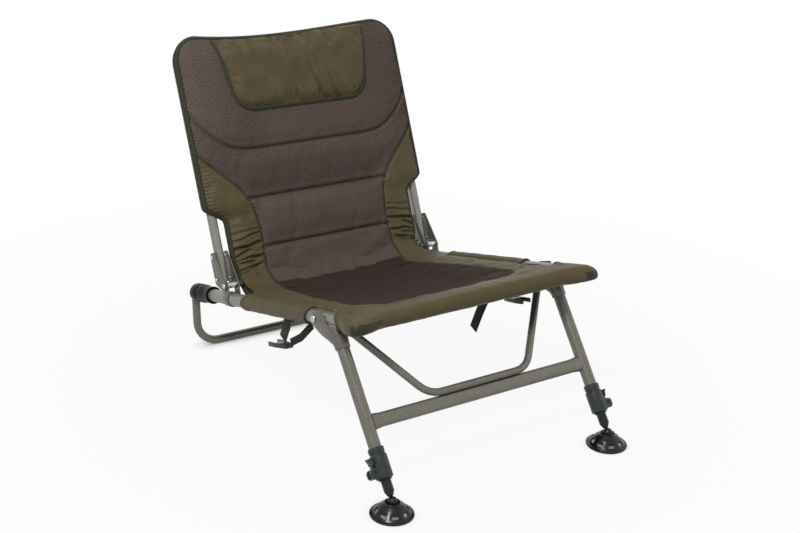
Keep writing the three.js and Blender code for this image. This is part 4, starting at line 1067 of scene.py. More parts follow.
@dataclass
class Assembly:
    """What every part of the chair needs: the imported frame, the finishes and its own datum."""

    frame: dict
    book: FinishBook
    layout: Layout
    made: list[bpy.types.Object] = field(default_factory=list)

    def keep(self, obj: bpy.types.Object, body: str, slot: str, *nodes: str) -> bpy.types.Object:
        """Sets a finished piece on its body and reports it.

        Args:
            obj: The piece, in its place.
            body: The CAD body that it moves with.
            slot: The record's material slot; not used.
            nodes: The CAD nodes that it stands for.

        Returns:
            The piece.
        """
        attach(obj, body)
        if nodes:
            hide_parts(*nodes)
        self.made.append(obj)
        LOG.info("%s rides on %s, %d faces", obj.name, body, len(obj.data.polygons))
        return obj

    def fit(
        self,
        obj: bpy.types.Object,
        material: bpy.types.Material,
        datum: Datum,
        body: str,
        slot: str,
        *nodes: str,
    ) -> bpy.types.Object:
        """Dresses a modelled piece, sets it in its place and keeps it.

        Args:
            obj: The piece, in the frame of its assembly.
            material: Its finish.
            datum: The assembly's frame.
            body: The CAD body that it moves with.
            slot: The record's material slot.
            nodes: The CAD nodes that it stands for.

        Returns:
            The piece.
        """
        dress(obj, material)
        place(obj, datum)
        return self.keep(obj, body, slot, *nodes)

    def copy_of(
        self, node: str, body: str, slot: str, material: bpy.types.Material, bevel: float = 0.4
    ) -> bpy.types.Object:
        """Puts a finished copy in the place of a CAD node.

        Args:
            node: The CAD node's name.
            body: The body that it rides on.
            slot: The record's material slot.
            material: Its finish.
            bevel: The round of its edges, in millimetres.

        Returns:
            The copy.
        """
        piece = finished_copy(f"{node}_finished", self.frame["nodes"][node], bevel)
        dress(piece, material)
        return self.keep(piece, body, slot, node)

    def copy_pairs(self, *rows: tuple) -> None:
        """Puts finished copies in the places of pairs of CAD nodes.

        Args:
            rows: What copy_of is told for each pair, without the side's name. A body that ends
                in _ is a pair too.
        """
        for name in SIDES:
            for node, body, *looks in rows:
                self.copy_of(f"{node}_{name}", f"{body}{name}" if body.endswith("_") else body, *looks)


SIDES = {"right": -1, "left": 1}


@dataclass
class SeatFrame(Assembly):
    """The seat's bent rails, with their saddles, bolts and bushes."""

    half_spacing: float = 235.0
    rail_radius: float = 12.5
    rail_wall: float = 1.5
    rail_end: float = 484.0
    front_bar: float = -123.0
    corner_radius: float = 38.0

    def build(self) -> None:
        """Makes the rails and dresses what is fixed to them."""
        book, x, y = self.book, self.half_spacing, self.front_bar
        stops = [
            ((-x, self.rail_end, 0), 0),
            ((-x, y, 0), self.corner_radius),
            ((x, y, 0), self.corner_radius),
            ((x, self.rail_end, 0), 0),
        ]
        rails = bent_tube("seat_rails", stops, self.rail_radius, self.rail_wall, sides=40, steps=16)
        # The lighter paint here is partly the rails' own finish and partly painted light.
        self.fit(rails, book.bright_paint, self.layout.seat, "frame", "frame_paint", "seat_frame_tube")
        self.copy_pairs(
            ("hinge_saddle", "frame", "frame_paint", book.cast_paint, 0.5),
            ("hinge_spacer", "frame", "bolt_steel", book.steel),
            ("rail_bush", "frame", "black_plastic", book.plastic),
            ("pivot_bolt", "frame", "bolt_steel", book.steel, 0.5),
        )


@dataclass
class SeatCover(Assembly):
    """The seat's cover: sleeves round the rails, a padded mesh sling and its bound openings."""

    half_spacing: float = 235.0
    sleeve_radius: float = 15.5
    front_bar: float = -123.0
    corner_radius: float = 38.0
    flap_reach: float = 31.0
    flap_squareness: float = 8.0
    patch_turns: tuple[tuple[float, float], ...] = ((40.0, 89.0), (17.0, 62.0))
    patch_reach: float = 44.0
    patch_height: float = 4.5
    opening_front: float = -71.0
    opening_rear: float = 33.0
    opening_rake: float = 6.0
    opening_inner: float = 216.5
    sleeve_rear: float = 268.0
    sleeve_rear_tongue: float = 8.0
    sleeve_sides: int = 40
    sling_end: float = 312.0
    sling_draw_in: float = 24.0
    mesh_half_front: float = 170.0
    mesh_half_rear: float = 142.0
    mesh_chamfer: float = 48.0
    mesh_front: float = -48.0
    fall_front: float = -75.0
    sag: float = 16.0
    valley: float = 5.0
    border_fall: float = 7.0
    edge_depth: float = 4.5
    fill_depth: float = 5.5
    hem: float = 2.0
    seam_press: tuple[float, float] = (2.0, 2.6)
    seam_welt: tuple[float, float, float] = (0.9, 7.0, 5.0)
    tape_width: float = 7.0
    end_tape_width: float = 5.0

    def mesh_half(self, y: float) -> float:
        """Returns half the width of the mesh panel at a place along the seat."""
        rear = mix(self.mesh_half_front, self.mesh_half_rear, share(y, 120, 303))
        into = ease(y, self.mesh_front - 12, self.mesh_front + 32)
        return min(rear, mix(self.mesh_half_front - self.mesh_chamfer, rear, into))

    def sling_edge(self, y: float) -> float:
        """Returns half the width of the sling, which draws in at the leg openings and at the rear."""
        into = ease(y, self.opening_front - 5, self.opening_front + 6)
        out = ease(y, self.opening_rear - 3, self.opening_rear + 8)
        wide = self.half_spacing - 10
        edge = mix(wide, self.opening_inner, into * (1 - out))
        return edge - self.sling_draw_in * ease(y, 273, self.sling_end)

    def top(self, x: float, y: float) -> float:
        """Returns the height of the sling's top."""
        panel = self.mesh_half(y)
        level = self.half_spacing - 14
        sideways = ease(level - abs(x), 0, level - panel)
        fall = min(sideways, ease(y, self.front_bar, self.fall_front))
        across = 1 - min(1, abs(x) / panel) ** 2
        along = ease(y, self.fall_front, 45) * (1 - 0.55 * ease(y, 150, 303))
        rise = 7 * ease(y, 296, self.sling_end) ** 2
        return self.sleeve_radius - 0.35 - self.border_fall * fall - self.sag * across * along + rise

    def build(self) -> None:
        """Makes the cover's pieces."""
        sling = self.build_sling()
        self.build_front_sleeve()
        for name, side in SIDES.items():
            self.build_rear_sleeve(name, side)
        self.build_tapes(sling)
        place(sling, self.layout.seat)
        self.keep(sling, "frame", "olive_nylon", "seat_cover")

    def build_sling(self) -> bpy.types.Object:
        """Makes the padded sling between the sleeves.

        Returns:
            The sling, in the seat's frame, in metres.
        """
        notch_front, notch_rear = self.opening_front, self.opening_rear
        stretches = (
            (self.front_bar, notch_front - 6, 9),
            (notch_front - 3, notch_front + 8, 5),
            (notch_front + 14, notch_rear - 6, 15),
            (notch_rear - 3, notch_rear + 9, 5),
            (notch_rear + 16, self.sling_end, 44),
        )
        rows = np.concatenate([np.linspace(*stretch) for stretch in stretches])
        shares = np.concatenate([np.linspace(0, 0.9, 34), 1 - (1 - np.linspace(0, 1, 8)[1:]) ** 1.5 * 0.1])
        shares = np.concatenate([-shares[:0:-1], shares])
        hem = 1 - np.sqrt(clamped(1 - clamped((abs(shares) - 0.94) / 0.06) ** 2))
        face, rear = [], []
        for y in rows:
            xs = shares * self.sling_edge(y)
            ys = np.full_like(xs, y)
            tops = np.array([self.top(x, y) for x in xs])
            depth = self.edge_depth + self.fill_depth * ease_array(225 - abs(xs), 0, 60)
            face.append(np.stack([xs, ys, tops - self.hem * hem], axis=1))
            rear.append(np.stack([xs, ys, tops - depth + self.hem * hem], axis=1))
        sling = padded_form("seat_sling", np.array(face), np.array(rear))
        seam = self.seam_line()
        x, y, _ = places_of(sling).T
        aside = np.abs(x)
        held = clamped(1 - (distance_to_line(np.stack([aside, y], axis=1), seam) - 3) / 3)
        edges = np.array([self.sling_edge(v) for v in y])
        rim = (aside > edges - 6) | (y < self.front_bar + 8) | (y > self.sling_end - 8)
        billow(sling, np.maximum(held, rim), pressure=1.2, cap=3.0)
        apply_modifier(sling, "SUBSURF", levels=1, render_levels=1)
        self.shape_sling(sling, seam)
        smooth(sling, 60)
        # The mesh panel on top takes the darker copy of the spacer mesh, which is painted shade.
        dress(sling, self.book.nylon, self.book.shaded_seat_mesh)
        for polygon in sling.data.polygons:
            x, y, _ = polygon.center / MM
            inside = abs(x) < self.mesh_half(y) and y > self.mesh_front
            polygon.material_index = 1 if inside and polygon.normal.z > 0 else 0
        return sling

    def seam_line(self) -> np.ndarray:
        """Returns the seam round the mesh panel, on the left half."""
        ys = np.linspace(self.mesh_front, self.sling_end, 40)
        side = [(self.mesh_half(y), y) for y in ys]
        return np.array([(0, self.mesh_front), (self.mesh_half(self.mesh_front) - 1, self.mesh_front), *side])

    def shape_sling(self, sling: bpy.types.Object, seam: np.ndarray) -> None:
        """Presses the seam into the sling and lays soft creases over its border.

        Args:
            sling: The sling, in the seat's frame.
            seam: The seam round the mesh panel.
        """
        places = places_of(sling)
        mirrored = np.stack([np.abs(places[:, 0]), places[:, 1]], axis=1)
        gap = distance_to_line(mirrored, seam)
        border = clamped((mirrored[:, 0] - np.array([self.mesh_half(y) for y in places[:, 1]])) / 20)
        cloth = np.maximum(border, clamped((self.mesh_front - places[:, 1]) / 15))
        long = 0.9 * ripple(places * [0.35, 1.0, 0], 26, 3.0) + 1.2 * ripple(places * [1, 1, 0], 60, 8.0)
        press, press_width = self.seam_press
        welt, welt_middle, welt_width = self.seam_welt
        groove = welt * hump(gap, welt_middle, welt_width) - press * hump(gap, 0, press_width)
        upward = normals_of(sling)[:, 2] > 0.2
        lift = np.where(upward, groove + 0.9 * long * cloth, 0)
        along = ease_array(places[:, 1], -92, -50) * (1 - ease_array(places[:, 1], 262, 300))
        valley = hump(np.maximum(0, 214 - mirrored[:, 0]), 0, 13) * along
        places[:, 2] += lift - self.valley * valley
        move_to(sling, places)

    def sleeve_rings(self, centres: np.ndarray, outward: np.ndarray, corner: np.ndarray) -> np.ndarray:
        """Draws the rings of a sleeve.

        Args:
            centres: The rail's axis at each ring, in millimetres.
            outward: The direction away from the seat at each ring.
            corner: The angle round the corner at each ring, or 0 on a straight.

        Returns:
            The rings.
        """
        turns = 2 * math.pi * np.arange(self.sleeve_sides) / self.sleeve_sides
        c, s = np.cos(turns), np.sin(turns)
        front = np.maximum(c, 0)
        rings = []
        for centre, away, angle in zip(centres, outward, corner):
            fullness = math.sin(2 * angle) if 0 < angle < math.pi / 2 else 0.0
            reach = self.sleeve_radius
            if fullness:
                extent = self.corner_radius + mix(self.sleeve_radius * 0.925, self.flap_reach, fullness)
                power = self.flap_squareness
                squared = (math.cos(angle) ** power + abs(math.sin(angle)) ** power) ** (1 / power)
                reach = max(self.sleeve_radius, extent / squared - self.corner_radius)
            full_out = reach * front ** mix(1.0, 0.62, fullness)
            full_high = self.sleeve_radius * np.copysign(np.abs(s) ** mix(1.0, 0.72, fullness), s)
            out = np.where(c > 0, full_out, self.sleeve_radius * c)
            high = np.where(c > 0, full_high - 5 * fullness * c**2, self.sleeve_radius * s)
            rings.append(centre + away * out[:, None] + np.outer(high, (0, 0, 1)))
        return np.array(rings)

    def finish_sleeve(
        self, name: str, rings: np.ndarray, run: np.ndarray, creases: float
    ) -> bpy.types.Object:
        """Turns rings into a sleeve of cloth.

        Args:
            name: The piece's name.
            rings: The sleeve's rings, in the seat's frame.
            run: How far along the sleeve each ring lies.
            creases: The height of its creases.

        Returns:
            The sleeve.
        """
        weave = flat_weave(np.linspace(0, 2 * math.pi * self.sleeve_radius, rings.shape[1] + 1), run)
        sleeve = woven(name, rings, weave, round_trip=True, ends=False)
        with editing(sleeve):
            bpy.ops.mesh.normals_make_consistent(inside=False)
        apply_modifier(sleeve, "SUBSURF", levels=1, render_levels=1)
        places = places_of(sleeve)
        lift = creases * ripple(places * [1, 1, 0.6], 22, 5.0) + 0.5 * creases * ripple(places, 9, 11.0)
        move_to(sleeve, places + normals_of(sleeve) * lift[:, None])
        apply_modifier(sleeve, "SOLIDIFY", thickness=SHEET_MM * MM, offset=-1.0, use_rim=True)
        smooth(sleeve, 50)
        return sleeve

    def opening_edge(self, height: float, front: bool) -> float:
        """Returns where an opening's edge crosses the sleeve at a height over the rail's axis."""
        up = share(height, 0, self.sleeve_radius)
        down = share(-height, 0, self.sleeve_radius)
        if front:
            return self.opening_front + 12 * up**1.5 + 3 * down
        return self.opening_rear - self.opening_rake * up + self.opening_rake * down

    def build_front_sleeve(self) -> None:
        """Makes the sleeve round the front bar, with its two full corners."""
        x, y, r = self.half_spacing, self.front_bar, self.corner_radius
        straight = np.linspace(self.opening_front, y + r, 5)[:-1]
        rows = [((x, s, 0), (1, 0, 0), 0.0) for s in straight]
        for a in np.linspace(0, math.pi / 2, 19):
            c, s = math.cos(a), math.sin(a)
            rows.append(((x - r + r * c, y + r - r * s, 0), (c, -s, 0), a))
        rows += [((s, y, 0), (0, -1, 0), 0.0) for s in np.linspace(x - r, 0, 20)[1:]]
        rows += [((-p[0], p[1], 0), (-a[0], a[1], 0), turn) for p, a, turn in rows[-2::-1]]
        centres, outward, corner = (np.array(column, float) for column in zip(*rows))
        rings = self.sleeve_rings(centres, outward, corner)
        heights = self.sleeve_radius * np.sin(2 * math.pi * np.arange(self.sleeve_sides) / self.sleeve_sides)
        for index in (0, len(rings) - 1):
            rings[index, :, 1] = [self.opening_edge(h, True) for h in heights]
        sleeve = self.finish_sleeve("front_sleeve", rings, run_along(centres), creases=0.8)
        dress(sleeve, self.book.nylon, self.book.patch_nylon)
        for polygon in sleeve.data.polygons:
            px, py, pz = polygon.center / MM
            ahead, aside = y + r - py, abs(px) - (x - r)
            turn = math.degrees(math.atan2(ahead, aside))
            first, last = self.patch_turns[0 if px < 0 else 1]
            inside = first < turn < last and math.hypot(ahead, aside) > self.patch_reach
            polygon.material_index = 1 if inside and pz < self.patch_height - 0.02 * abs(turn - first) else 0
        place(sleeve, self.layout.seat)
        self.keep(sleeve, "frame", "olive_nylon", "seat_cover")
        for name, side in SIDES.items():
            self.ring_tape(f"front_opening_tape_{name}", side, lambda t: self.bound_edge(t, True))

    def bound_edge(self, turn: float, front: bool) -> float:
        """Returns where the tape of a leg's opening lies along the rail, at a turn round it."""
        height = (self.sleeve_radius + 0.1) * math.sin(turn)
        return self.opening_edge(height, front) + (-3.0 if front else 3.0)

    def ring_tape(self, name: str, side: int, edge: Callable[[float], float], thickness: float = 0.8) -> None:
        """Binds one end of a sleeve.

        Args:
            name: The piece's name.
            side: -1 on the right, 1 on the left.
            edge: Where the tape lies along the rail, at a turn round it.
            thickness: How far it stands off the sleeve.
        """
        turns = np.linspace(0, 2 * math.pi, 49)[:-1]
        normals = np.stack([side * np.cos(turns), np.zeros_like(turns), np.sin(turns)], axis=1)
        line = normals * (self.sleeve_radius + 0.1)
        line[:, 0] += side * self.half_spacing
        line[:, 1] = [edge(turn) for turn in turns]
        tape = ribbon(name, line, normals, self.end_tape_width, thickness, closed=True)
        self.fit(tape, self.book.nylon, self.layout.seat, "frame", "olive_nylon")

    def rear_edge(self, turn: float) -> float:
        """Returns where a rear sleeve ends along the rail, at a turn round it."""
        return self.sleeve_rear + self.sleeve_rear_tongue * math.cos(turn) ** 2

    def build_rear_sleeve(self, name: str, side: int) -> None:
        """Makes the sleeve behind a leg's opening.

        Args:
            name: The side's name.
            side: -1 on the right, 1 on the left.
        """
        turns = 2 * math.pi * np.arange(self.sleeve_sides) / self.sleeve_sides
        heights = self.sleeve_radius * np.sin(turns)
        start = np.array([self.opening_edge(h, False) for h in heights])
        end = np.array([self.rear_edge(turn) for turn in turns])
        shares = np.linspace(0, 1, 44)
        rings = []
        for t in shares:
            swell = 1 + 0.03 * math.sin(math.pi * t)
            xs = side * (self.half_spacing + self.sleeve_radius * swell * np.cos(turns))
            rings.append(np.stack([xs, mix(start, end, t), heights * swell], axis=1))
        sleeve = self.finish_sleeve(f"rear_sleeve_{name}", np.array(rings), shares * 250, creases=0.7)
        self.fit(sleeve, self.book.nylon, self.layout.seat, "frame", "olive_nylon", "seat_cover")
        self.ring_tape(f"rear_opening_tape_{name}", side, lambda t: self.bound_edge(t, False))
        self.ring_tape(f"sleeve_end_tape_{name}", side, lambda t: self.rear_edge(t) - 2.5, 0.6)

    def build_tapes(self, sling: bpy.types.Object) -> None:
        """Binds the sling along the leg openings and along the mesh panel's sides.

        Args:
            sling: The sling, still in the seat's frame.
        """
        surface = Surface(sling, Vector((0, 0, -1)))
        edges = np.linspace(self.opening_front - 4, self.opening_rear + 8, 34)
        seams = np.linspace(self.mesh_front + 40, self.sling_end - 2, 50)
        opening = [(self.sling_edge(y) - 3.2, y) for y in edges]
        panel = [(self.mesh_half(y) + 1.5, y) for y in seams]
        for name, side in SIDES.items():
            for kind, path, width, thickness, material in (
                ("opening_side_tape", opening, self.tape_width, 0.8, self.book.nylon),
                ("mesh_side_tape", panel, self.end_tape_width, 0.7, self.book.binding),
            ):
                line, normals = surface.drop(np.array([(side * x, y, 60) for x, y in path]))
                tape = ribbon(f"{kind}_{name}", line, normals, width, thickness)
                self.fit(tape, material, self.layout.seat, "frame", "olive_nylon")


@dataclass(frozen=True)
class Crease:
    """A crease in padded cloth, in millimetres: the line that it fades along, its height and width."""

    start: tuple[float, float]
    end: tuple[float, float]
    height: float
    width: float

    def lift(self, flat: np.ndarray) -> np.ndarray:
        """Returns the crease's height at places on the cloth: a ridge beside a narrow valley."""
        start, end = np.array(self.start, float), np.array(self.end, float)
        run = end - start
        side = np.sign((flat - start) @ np.array([run[1], -run[0]]))
        signed = side * distance_to_line(flat, np.array([start, end]))
        fade = (1 - clamped(((flat - start) @ run) / (run @ run))) ** 0.6
        ridge = 1.9 * hump(signed, 0.5 * self.width, 0.55 * self.width)
        valley = 2.0 * hump(signed, -0.2 * self.width, 0.3 * self.width)
        return self.height * fade * (ridge - valley)


@dataclass
class BackPad(Assembly):
    """The back's padded cover with its mesh panels, gathered side panels and headrest."""

    face_depth: float = -8.0
    rear_depth: float = -24.0
    sleeve_depth: float = -40.0
    top_height: float = 480.5
    drop: float = 29.0
    half_width: float = 250.0
    waist: float = 212.0
    foot: float = 207.0
    foot_rise: tuple[float, float] = (14.0, 40.0)
    step: tuple[float, float] = (120.0, 152.0)
    corner: float = 50.0
    edge_round: float = 14.0
    edge_share: float = 0.9
    top_dip: float = 9.5
    crown: float = 4.0
    curl: float = 30.0
    curl_start: float = 30.0
    tape_width: float = 7.0
    rim_tape_width: float = 11.0
    side_seam: tuple[tuple[float, float], ...] = (
        (250, 262),
        (232, 238),
        (210, 217),
        (180, 186),
        (157, 154),
        (147, 118),
        (144, 66),
        (147, 16),
        (142, -17),
        (140, -29),
    )
    yoke_seam: tuple[tuple[float, float], ...] = (
        (252, 345),
        (240, 320),
        (226, 300),
        (205, 279),
        (185, 264),
        (160, 254),
        (120, 250),
        (60, 250),
        (0, 250),
    )
    high_seam: float = 156.0
    low_seam: float = 59.0
    seam_press: tuple[tuple[float, float], ...] = ((2.6, 3.0), (4.2, 3.0), (4.2, 3.2), (4.0, 3.2))
    gathers: int = 15
    gather_start: float = -24.0
    gather_pitch: float = 9.2
    gather_climb: float = 9.0
    gather_depth: float = 3.6
    valley: float = 9.5
    lumbar: float = 2.6
    lower: float = 2.0
    ticks: float = 0.55
    tick_pitch: float = 7.4
    head_top: float = 476.5
    head_fall: float = 458.0
    head_bottom: float = 325.0
    head_half_top: float = 171.0
    head_half_bottom: float = 143.0
    head_corner: float = 45.0
    head_front: float = 7.0
    head_tucks: float = 0.9
    creases: tuple[Crease, ...] = (
        Crease((-104, 474), (-98, 440), 2.2, 7.0),
        Crease((-40, 476), (-20, 425), 3.0, 9.0),
        Crease((12, 476), (40, 405), 4.0, 10.0),
        Crease((64, 476), (102, 405), 3.6, 12.0),
        Crease((40, 332), (24, 410), 3.2, 9.0),
        Crease((72, 332), (62, 385), 2.4, 8.0),
        Crease((-10, 330), (-16, 362), 1.8, 7.0),
        Crease((120, 336), (118, 362), 1.6, 7.0),
        Crease((-60, 330), (-58, 356), 1.4, 6.0),
    )
    fold_half: float = 207.0
    fold_rows: int = 17
    fold_columns: int = 65
    fold_start: float = 290.0
    fold_mid: tuple[float, float] = (320.5, 300.0)
    fold_end: float = 16.0
    fold_mesh_half: float = 144.0

    def dip_at(self, across: np.ndarray) -> np.ndarray:
        """Returns how far the top hem hangs at a share of the way across, more on the right."""
        return self.top_dip * (1 - across**2) * (1 - 0.5 * across)

    def half_at(self, z: float) -> float:
        """Returns half the pad's width at a height."""
        low = mix(self.foot, self.waist, ease(z, *self.foot_rise))
        body = mix(low, self.half_width, ease(z, *self.step))
        above = max(0.0, z - (self.top_height - self.corner))
        return body - arc_drop(above, self.corner)

    def curl_at(self, z: float) -> float:
        """Returns how far the pad's foot curls forward at a height."""
        return self.curl * (max(0.0, self.curl_start - z) / (self.curl_start + self.drop)) ** 2

    def face_at(self, across: float, z: float) -> float:
        """Returns how far forward of the hinge the face lies."""
        s = share(abs(across), self.edge_share, 1)
        t = share(z, self.top_height - self.edge_round * 1.3, self.top_height)
        bulge = self.crown * (1 - across**2) * ease(z, 0, self.high_seam)
        return self.face_depth + self.curl_at(z) + bulge - self.edge_round * max(arc_drop(s), arc_drop(t))

    def rear_at(self, across: float, z: float) -> float:
        """Returns how far forward of the hinge the rear lies, a negative number."""
        wide = ease(z, *self.step)
        beside = wide * ease(abs(across), 0.78, 0.86)
        sleeve = max(beside, ease(z, self.top_height - 62, self.top_height - 37))
        s = arc_drop(share(abs(across), self.edge_share, 1))
        t = arc_drop(share(z, self.top_height - self.edge_round, self.top_height))
        rounding = self.edge_round * 0.85
        inward = max(rounding * s * wide, rounding * t, 4 * s * (1 - wide))
        return mix(self.rear_depth, self.sleeve_depth, sleeve) + self.curl_at(z) + inward

    def build(self) -> None:
        """Makes the pad, its bindings and the headrest."""
        pad = self.build_pad()
        head = self.build_headrest(pad)
        self.build_bindings(pad)
        self.build_fold()
        for piece, node in ((pad, "back_pad"), (head, "headrest_pad")):
            place(piece, self.layout.backrest)
            self.keep(piece, "backrest", "olive_nylon", node)

    def rows(self) -> np.ndarray:
        """Returns the heights of the pad's rows, closer in the round of its corners."""
        start = self.top_height - self.corner
        angles = np.linspace(0, math.pi / 2, 12)[1:]
        return np.concatenate([np.linspace(-self.drop, start, 76), start + self.corner * np.sin(angles)])

    def build_pad(self) -> bpy.types.Object:
        """Makes the pad, filled between its seams.

        Returns:
            The pad, in the back's frame, in metres.
        """
        half = 0.88 + 0.12 * np.sin(np.linspace(0, math.pi / 2, 9)[1:])
        half = np.concatenate([np.linspace(0, 0.88, 31), half])
        shares = np.concatenate([-half[:0:-1], half])
        face, rear = [], []
        for z in self.rows():
            xs = shares * self.half_at(z)
            zs = z - self.dip_at(shares) * share(z, self.top_height - self.corner, self.top_height)
            face.append(np.stack([xs, [-self.face_at(c, z) for c in shares], zs], axis=1))
            rear.append(np.stack([xs, [-self.rear_at(c, z) for c in shares], zs], axis=1))
        pad = padded_form("back_pad_cover", np.array(face), np.array(rear))
        places = places_of(pad)
        x, y, z = places.T
        gap = np.min([distance_to_line(self.flat(places), line) for line in self.seams()], axis=0)
        rim = np.abs(x) > np.array([self.half_at(v) for v in z]) - 7
        rim |= (z > self.top_height - 9) | (z < 6 - self.drop)
        middle = (self.face_depth + self.rear_depth) / 2 + np.array([self.curl_at(v) for v in z])
        held = np.maximum(clamped(1 - (gap - 3) / 4), rim | (-y < middle - 2))
        billow(pad, held, pressure=5.0, cap=6.5)
        apply_modifier(pad, "SUBSURF", levels=2, render_levels=2)
        self.sew(pad)
        smooth(pad, 60)
        self.stretch(pad)
        dress(pad, self.book.nylon, self.book.mesh)
        seam = rounded_line(self.side_seam)[::-1]
        for polygon in pad.data.polygons:
            x, _, z = polygon.center / MM
            inside = abs(x) < float(np.interp(z, seam[:, 1], seam[:, 0])) or z > seam[-1, 1]
            polygon.material_index = 1 if inside and polygon.normal.y < -0.3 else 0
        return pad

    @staticmethod
    def flat(places: np.ndarray) -> np.ndarray:
        """Returns each place's distance from the middle and its height."""
        return np.stack([np.abs(places[:, 0]), places[:, 2]], axis=1)

    def seams(self) -> list[np.ndarray]:
        """Returns the lines of the pad's seams on the left half."""
        return [
            rounded_line(self.side_seam),
            rounded_line(self.yoke_seam),
            np.array([(0, self.high_seam), (158, self.high_seam)], float),
            np.array([(0, self.low_seam), (145, self.low_seam)], float),
        ]

    def sew(self, pad: bpy.types.Object) -> None:
        """Presses the seams into the pad and gathers its side panels.

        Args:
            pad: The pad, in the back's frame.
        """
        places = places_of(pad)
        facing = normals_of(pad)
        flat = self.flat(places)
        aside, high = flat.T
        seams = self.seams()
        side = seams[0][::-1]
        lift = np.zeros(len(places))
        for line, (depth, width) in zip(seams, self.seam_press):
            gap = distance_to_line(flat, line)
            lift += depth * (0.35 * hump(gap, 2.6 * width, 1.6 * width) - hump(gap, 0, width))
        edge = np.interp(high, side[:, 1], side[:, 0])
        rim = np.array([self.half_at(z) for z in high])
        inner = rim - aside
        sheet = np.stack([aside * np.sign(places[:, 0]), high], axis=1)
        bent = high + 2.5 * ripple(sheet, 24, 12.0)
        across = clamped(inner / np.maximum(rim - edge, 1))
        panel = clamped((aside - edge) / 6) * clamped(inner / 10)
        for k in range(self.gathers):
            start = self.gather_start + self.gather_pitch * k + 3.2 * math.sin(2.3 * k)
            climb = self.gather_climb + 8 * math.sin(1.7 * k + 0.4)
            depth = max(0.3, self.gather_depth + 1.5 * math.sin(3.1 * k) - 0.09 * max(0, start - 60))
            reach = 0.87 + 0.28 * math.sin(2.9 * k + 1)
            off = bent - (start + climb * across)
            fade = clamped((reach - across) / 0.2) * panel
            lift += depth * fade * (0.6 * hump(off, 5.0, 2.8) - hump(off, 0, 2.3))
        middle = clamped((edge - aside) / 26)
        over = high >= self.high_seam
        above = np.where(over, 1 - ease_array(high, self.high_seam + 2, 238), 0)
        below = np.where(over, 0, 1 - ease_array(self.high_seam - high, 0, 24))
        lumbar = np.sin(math.pi * clamped((high - self.low_seam) / (self.high_seam - self.low_seam)))
        lower = np.sin(math.pi * clamped((high + 22) / (self.low_seam + 22)))
        lift += (self.lumbar * lumbar + self.lower * lower - self.valley * (above + below)) * middle
        outer = clamped((34 - inner) / 22) * clamped(inner / 5)
        ticks = np.sin(2 * math.pi * (high / self.tick_pitch + 0.3 * ripple(sheet * [0.5, 1.0], 34, 2.0)))
        lift += self.ticks * ticks * outer * clamped((high - 110) / 20) * clamped((262 - high) / 20)
        lift += 1.2 * ripple(sheet, 70, 4.0) + 0.6 * ripple(sheet * [1.0, 0.5], 22, 9.0)
        places[:, 1] -= np.where(facing[:, 1] < -0.2, lift, 0)
        slack = 1.6 * ripple(sheet, 55, 14.0) + 0.7 * ripple(sheet * [1, 0.4], 20, 15.0)
        places[:, 1] += np.where(facing[:, 1] > 0.3, slack * clamped(inner / 25), 0)
        move_to(pad, places)

    def stretch(self, pad: bpy.types.Object) -> None:
        """Notes how far the mesh is stretched, which opens its holes, and adds painted shade: a band just
        above the high seam whose holes open to draw it darker.

        Args:
            pad: The pad, in the back's frame.
        """
        x, _, z = places_of(pad).T
        right = ease_array(-x, 60, 215) * ease_array(z, 190, 330)
        left = 0.6 * ease_array(x, 140, 225) * ease_array(z, 240, 400)
        # Painted shade: this band just above the high seam, where the pad curves in under the upper cushion,
        # gets more open holes to draw it darker.
        painted_shade_band = (1 - ease_array(z, 168, 252)) * ease_array(z, 152, 158)
        value = np.maximum(2.0 * np.maximum(right, left), 0.9 * painted_shade_band)
        layer = pad.data.attributes.new("stretch", "FLOAT", "POINT")
        layer.data.foreach_set("value", value.astype(np.float32))

    def head_half(self, z: float) -> float:
        """Returns half the headrest's width at a height."""
        below = max(0.0, self.head_bottom + self.head_corner - z)
        half = mix(self.head_half_bottom, self.head_half_top, share(z, self.head_bottom, self.head_top))
        return half - arc_drop(below, self.head_corner)

    def build_headrest(self, pad: bpy.types.Object) -> bpy.types.Object:
        """Makes the padded headrest panel, laid on the pad.

        Args:
            pad: The pad under it.

        Returns:
            The headrest, in the back's frame, in metres.
        """
        surface = Surface(pad, Vector((0, 1, 0)))
        angles = np.linspace(-math.pi / 2, 0, 10)
        low = self.head_bottom + self.head_corner * (1 + np.sin(angles))
        rows = np.concatenate([low, np.linspace(low[-1], self.head_top, 24)[1:]])
        shares = np.sin(np.linspace(-math.pi / 2, math.pi / 2, 67)) * 0.35 + np.linspace(-1, 1, 67) * 0.65
        face, rear = [], []
        for z in rows:
            xs = shares * self.head_half(z)
            over = np.stack([xs, np.full_like(xs, -80), np.full_like(xs, z)], axis=1)
            base, _ = surface.drop(over, smoothing=0)
            over[:, 2] = min(z, mix(self.head_fall, z, 0.4))
            level, _ = surface.drop(over, smoothing=0)
            zs = z - self.dip_at(xs / self.half_width) * ease(z, self.head_top - 45, self.head_top)
            edge = np.minimum(1 - np.abs(shares), 0.24) / 0.24
            rise = ease(z, self.head_bottom - 1, self.head_bottom + 16)
            rise = min(rise, ease(self.head_top + 3 - z, 0, 7))
            full = np.minimum(np.sin(edge * math.pi / 2), rise)
            front = level[:, 1] - 2.2 - (self.head_front - self.face_depth - 6) * full
            face.append(np.stack([xs, front, zs], axis=1))
            rear.append(np.stack([xs, base[:, 1] + 1.5, zs], axis=1))
        head = padded_form("headrest_cover", np.array(face), np.array(rear))
        x, _, z = places_of(head).T
        held = np.abs(x) > np.array([self.head_half(v) for v in z]) - 8
        held |= (z < self.head_bottom + 5) | (z > self.head_top - 9)
        billow(head, held.astype(float), pressure=2.5, cap=3.0)
        apply_modifier(head, "SUBSURF", levels=2, render_levels=2)
        self.crease_headrest(head)
        smooth(head, 60)
        dress(head, self.book.head_nylon)
        return head

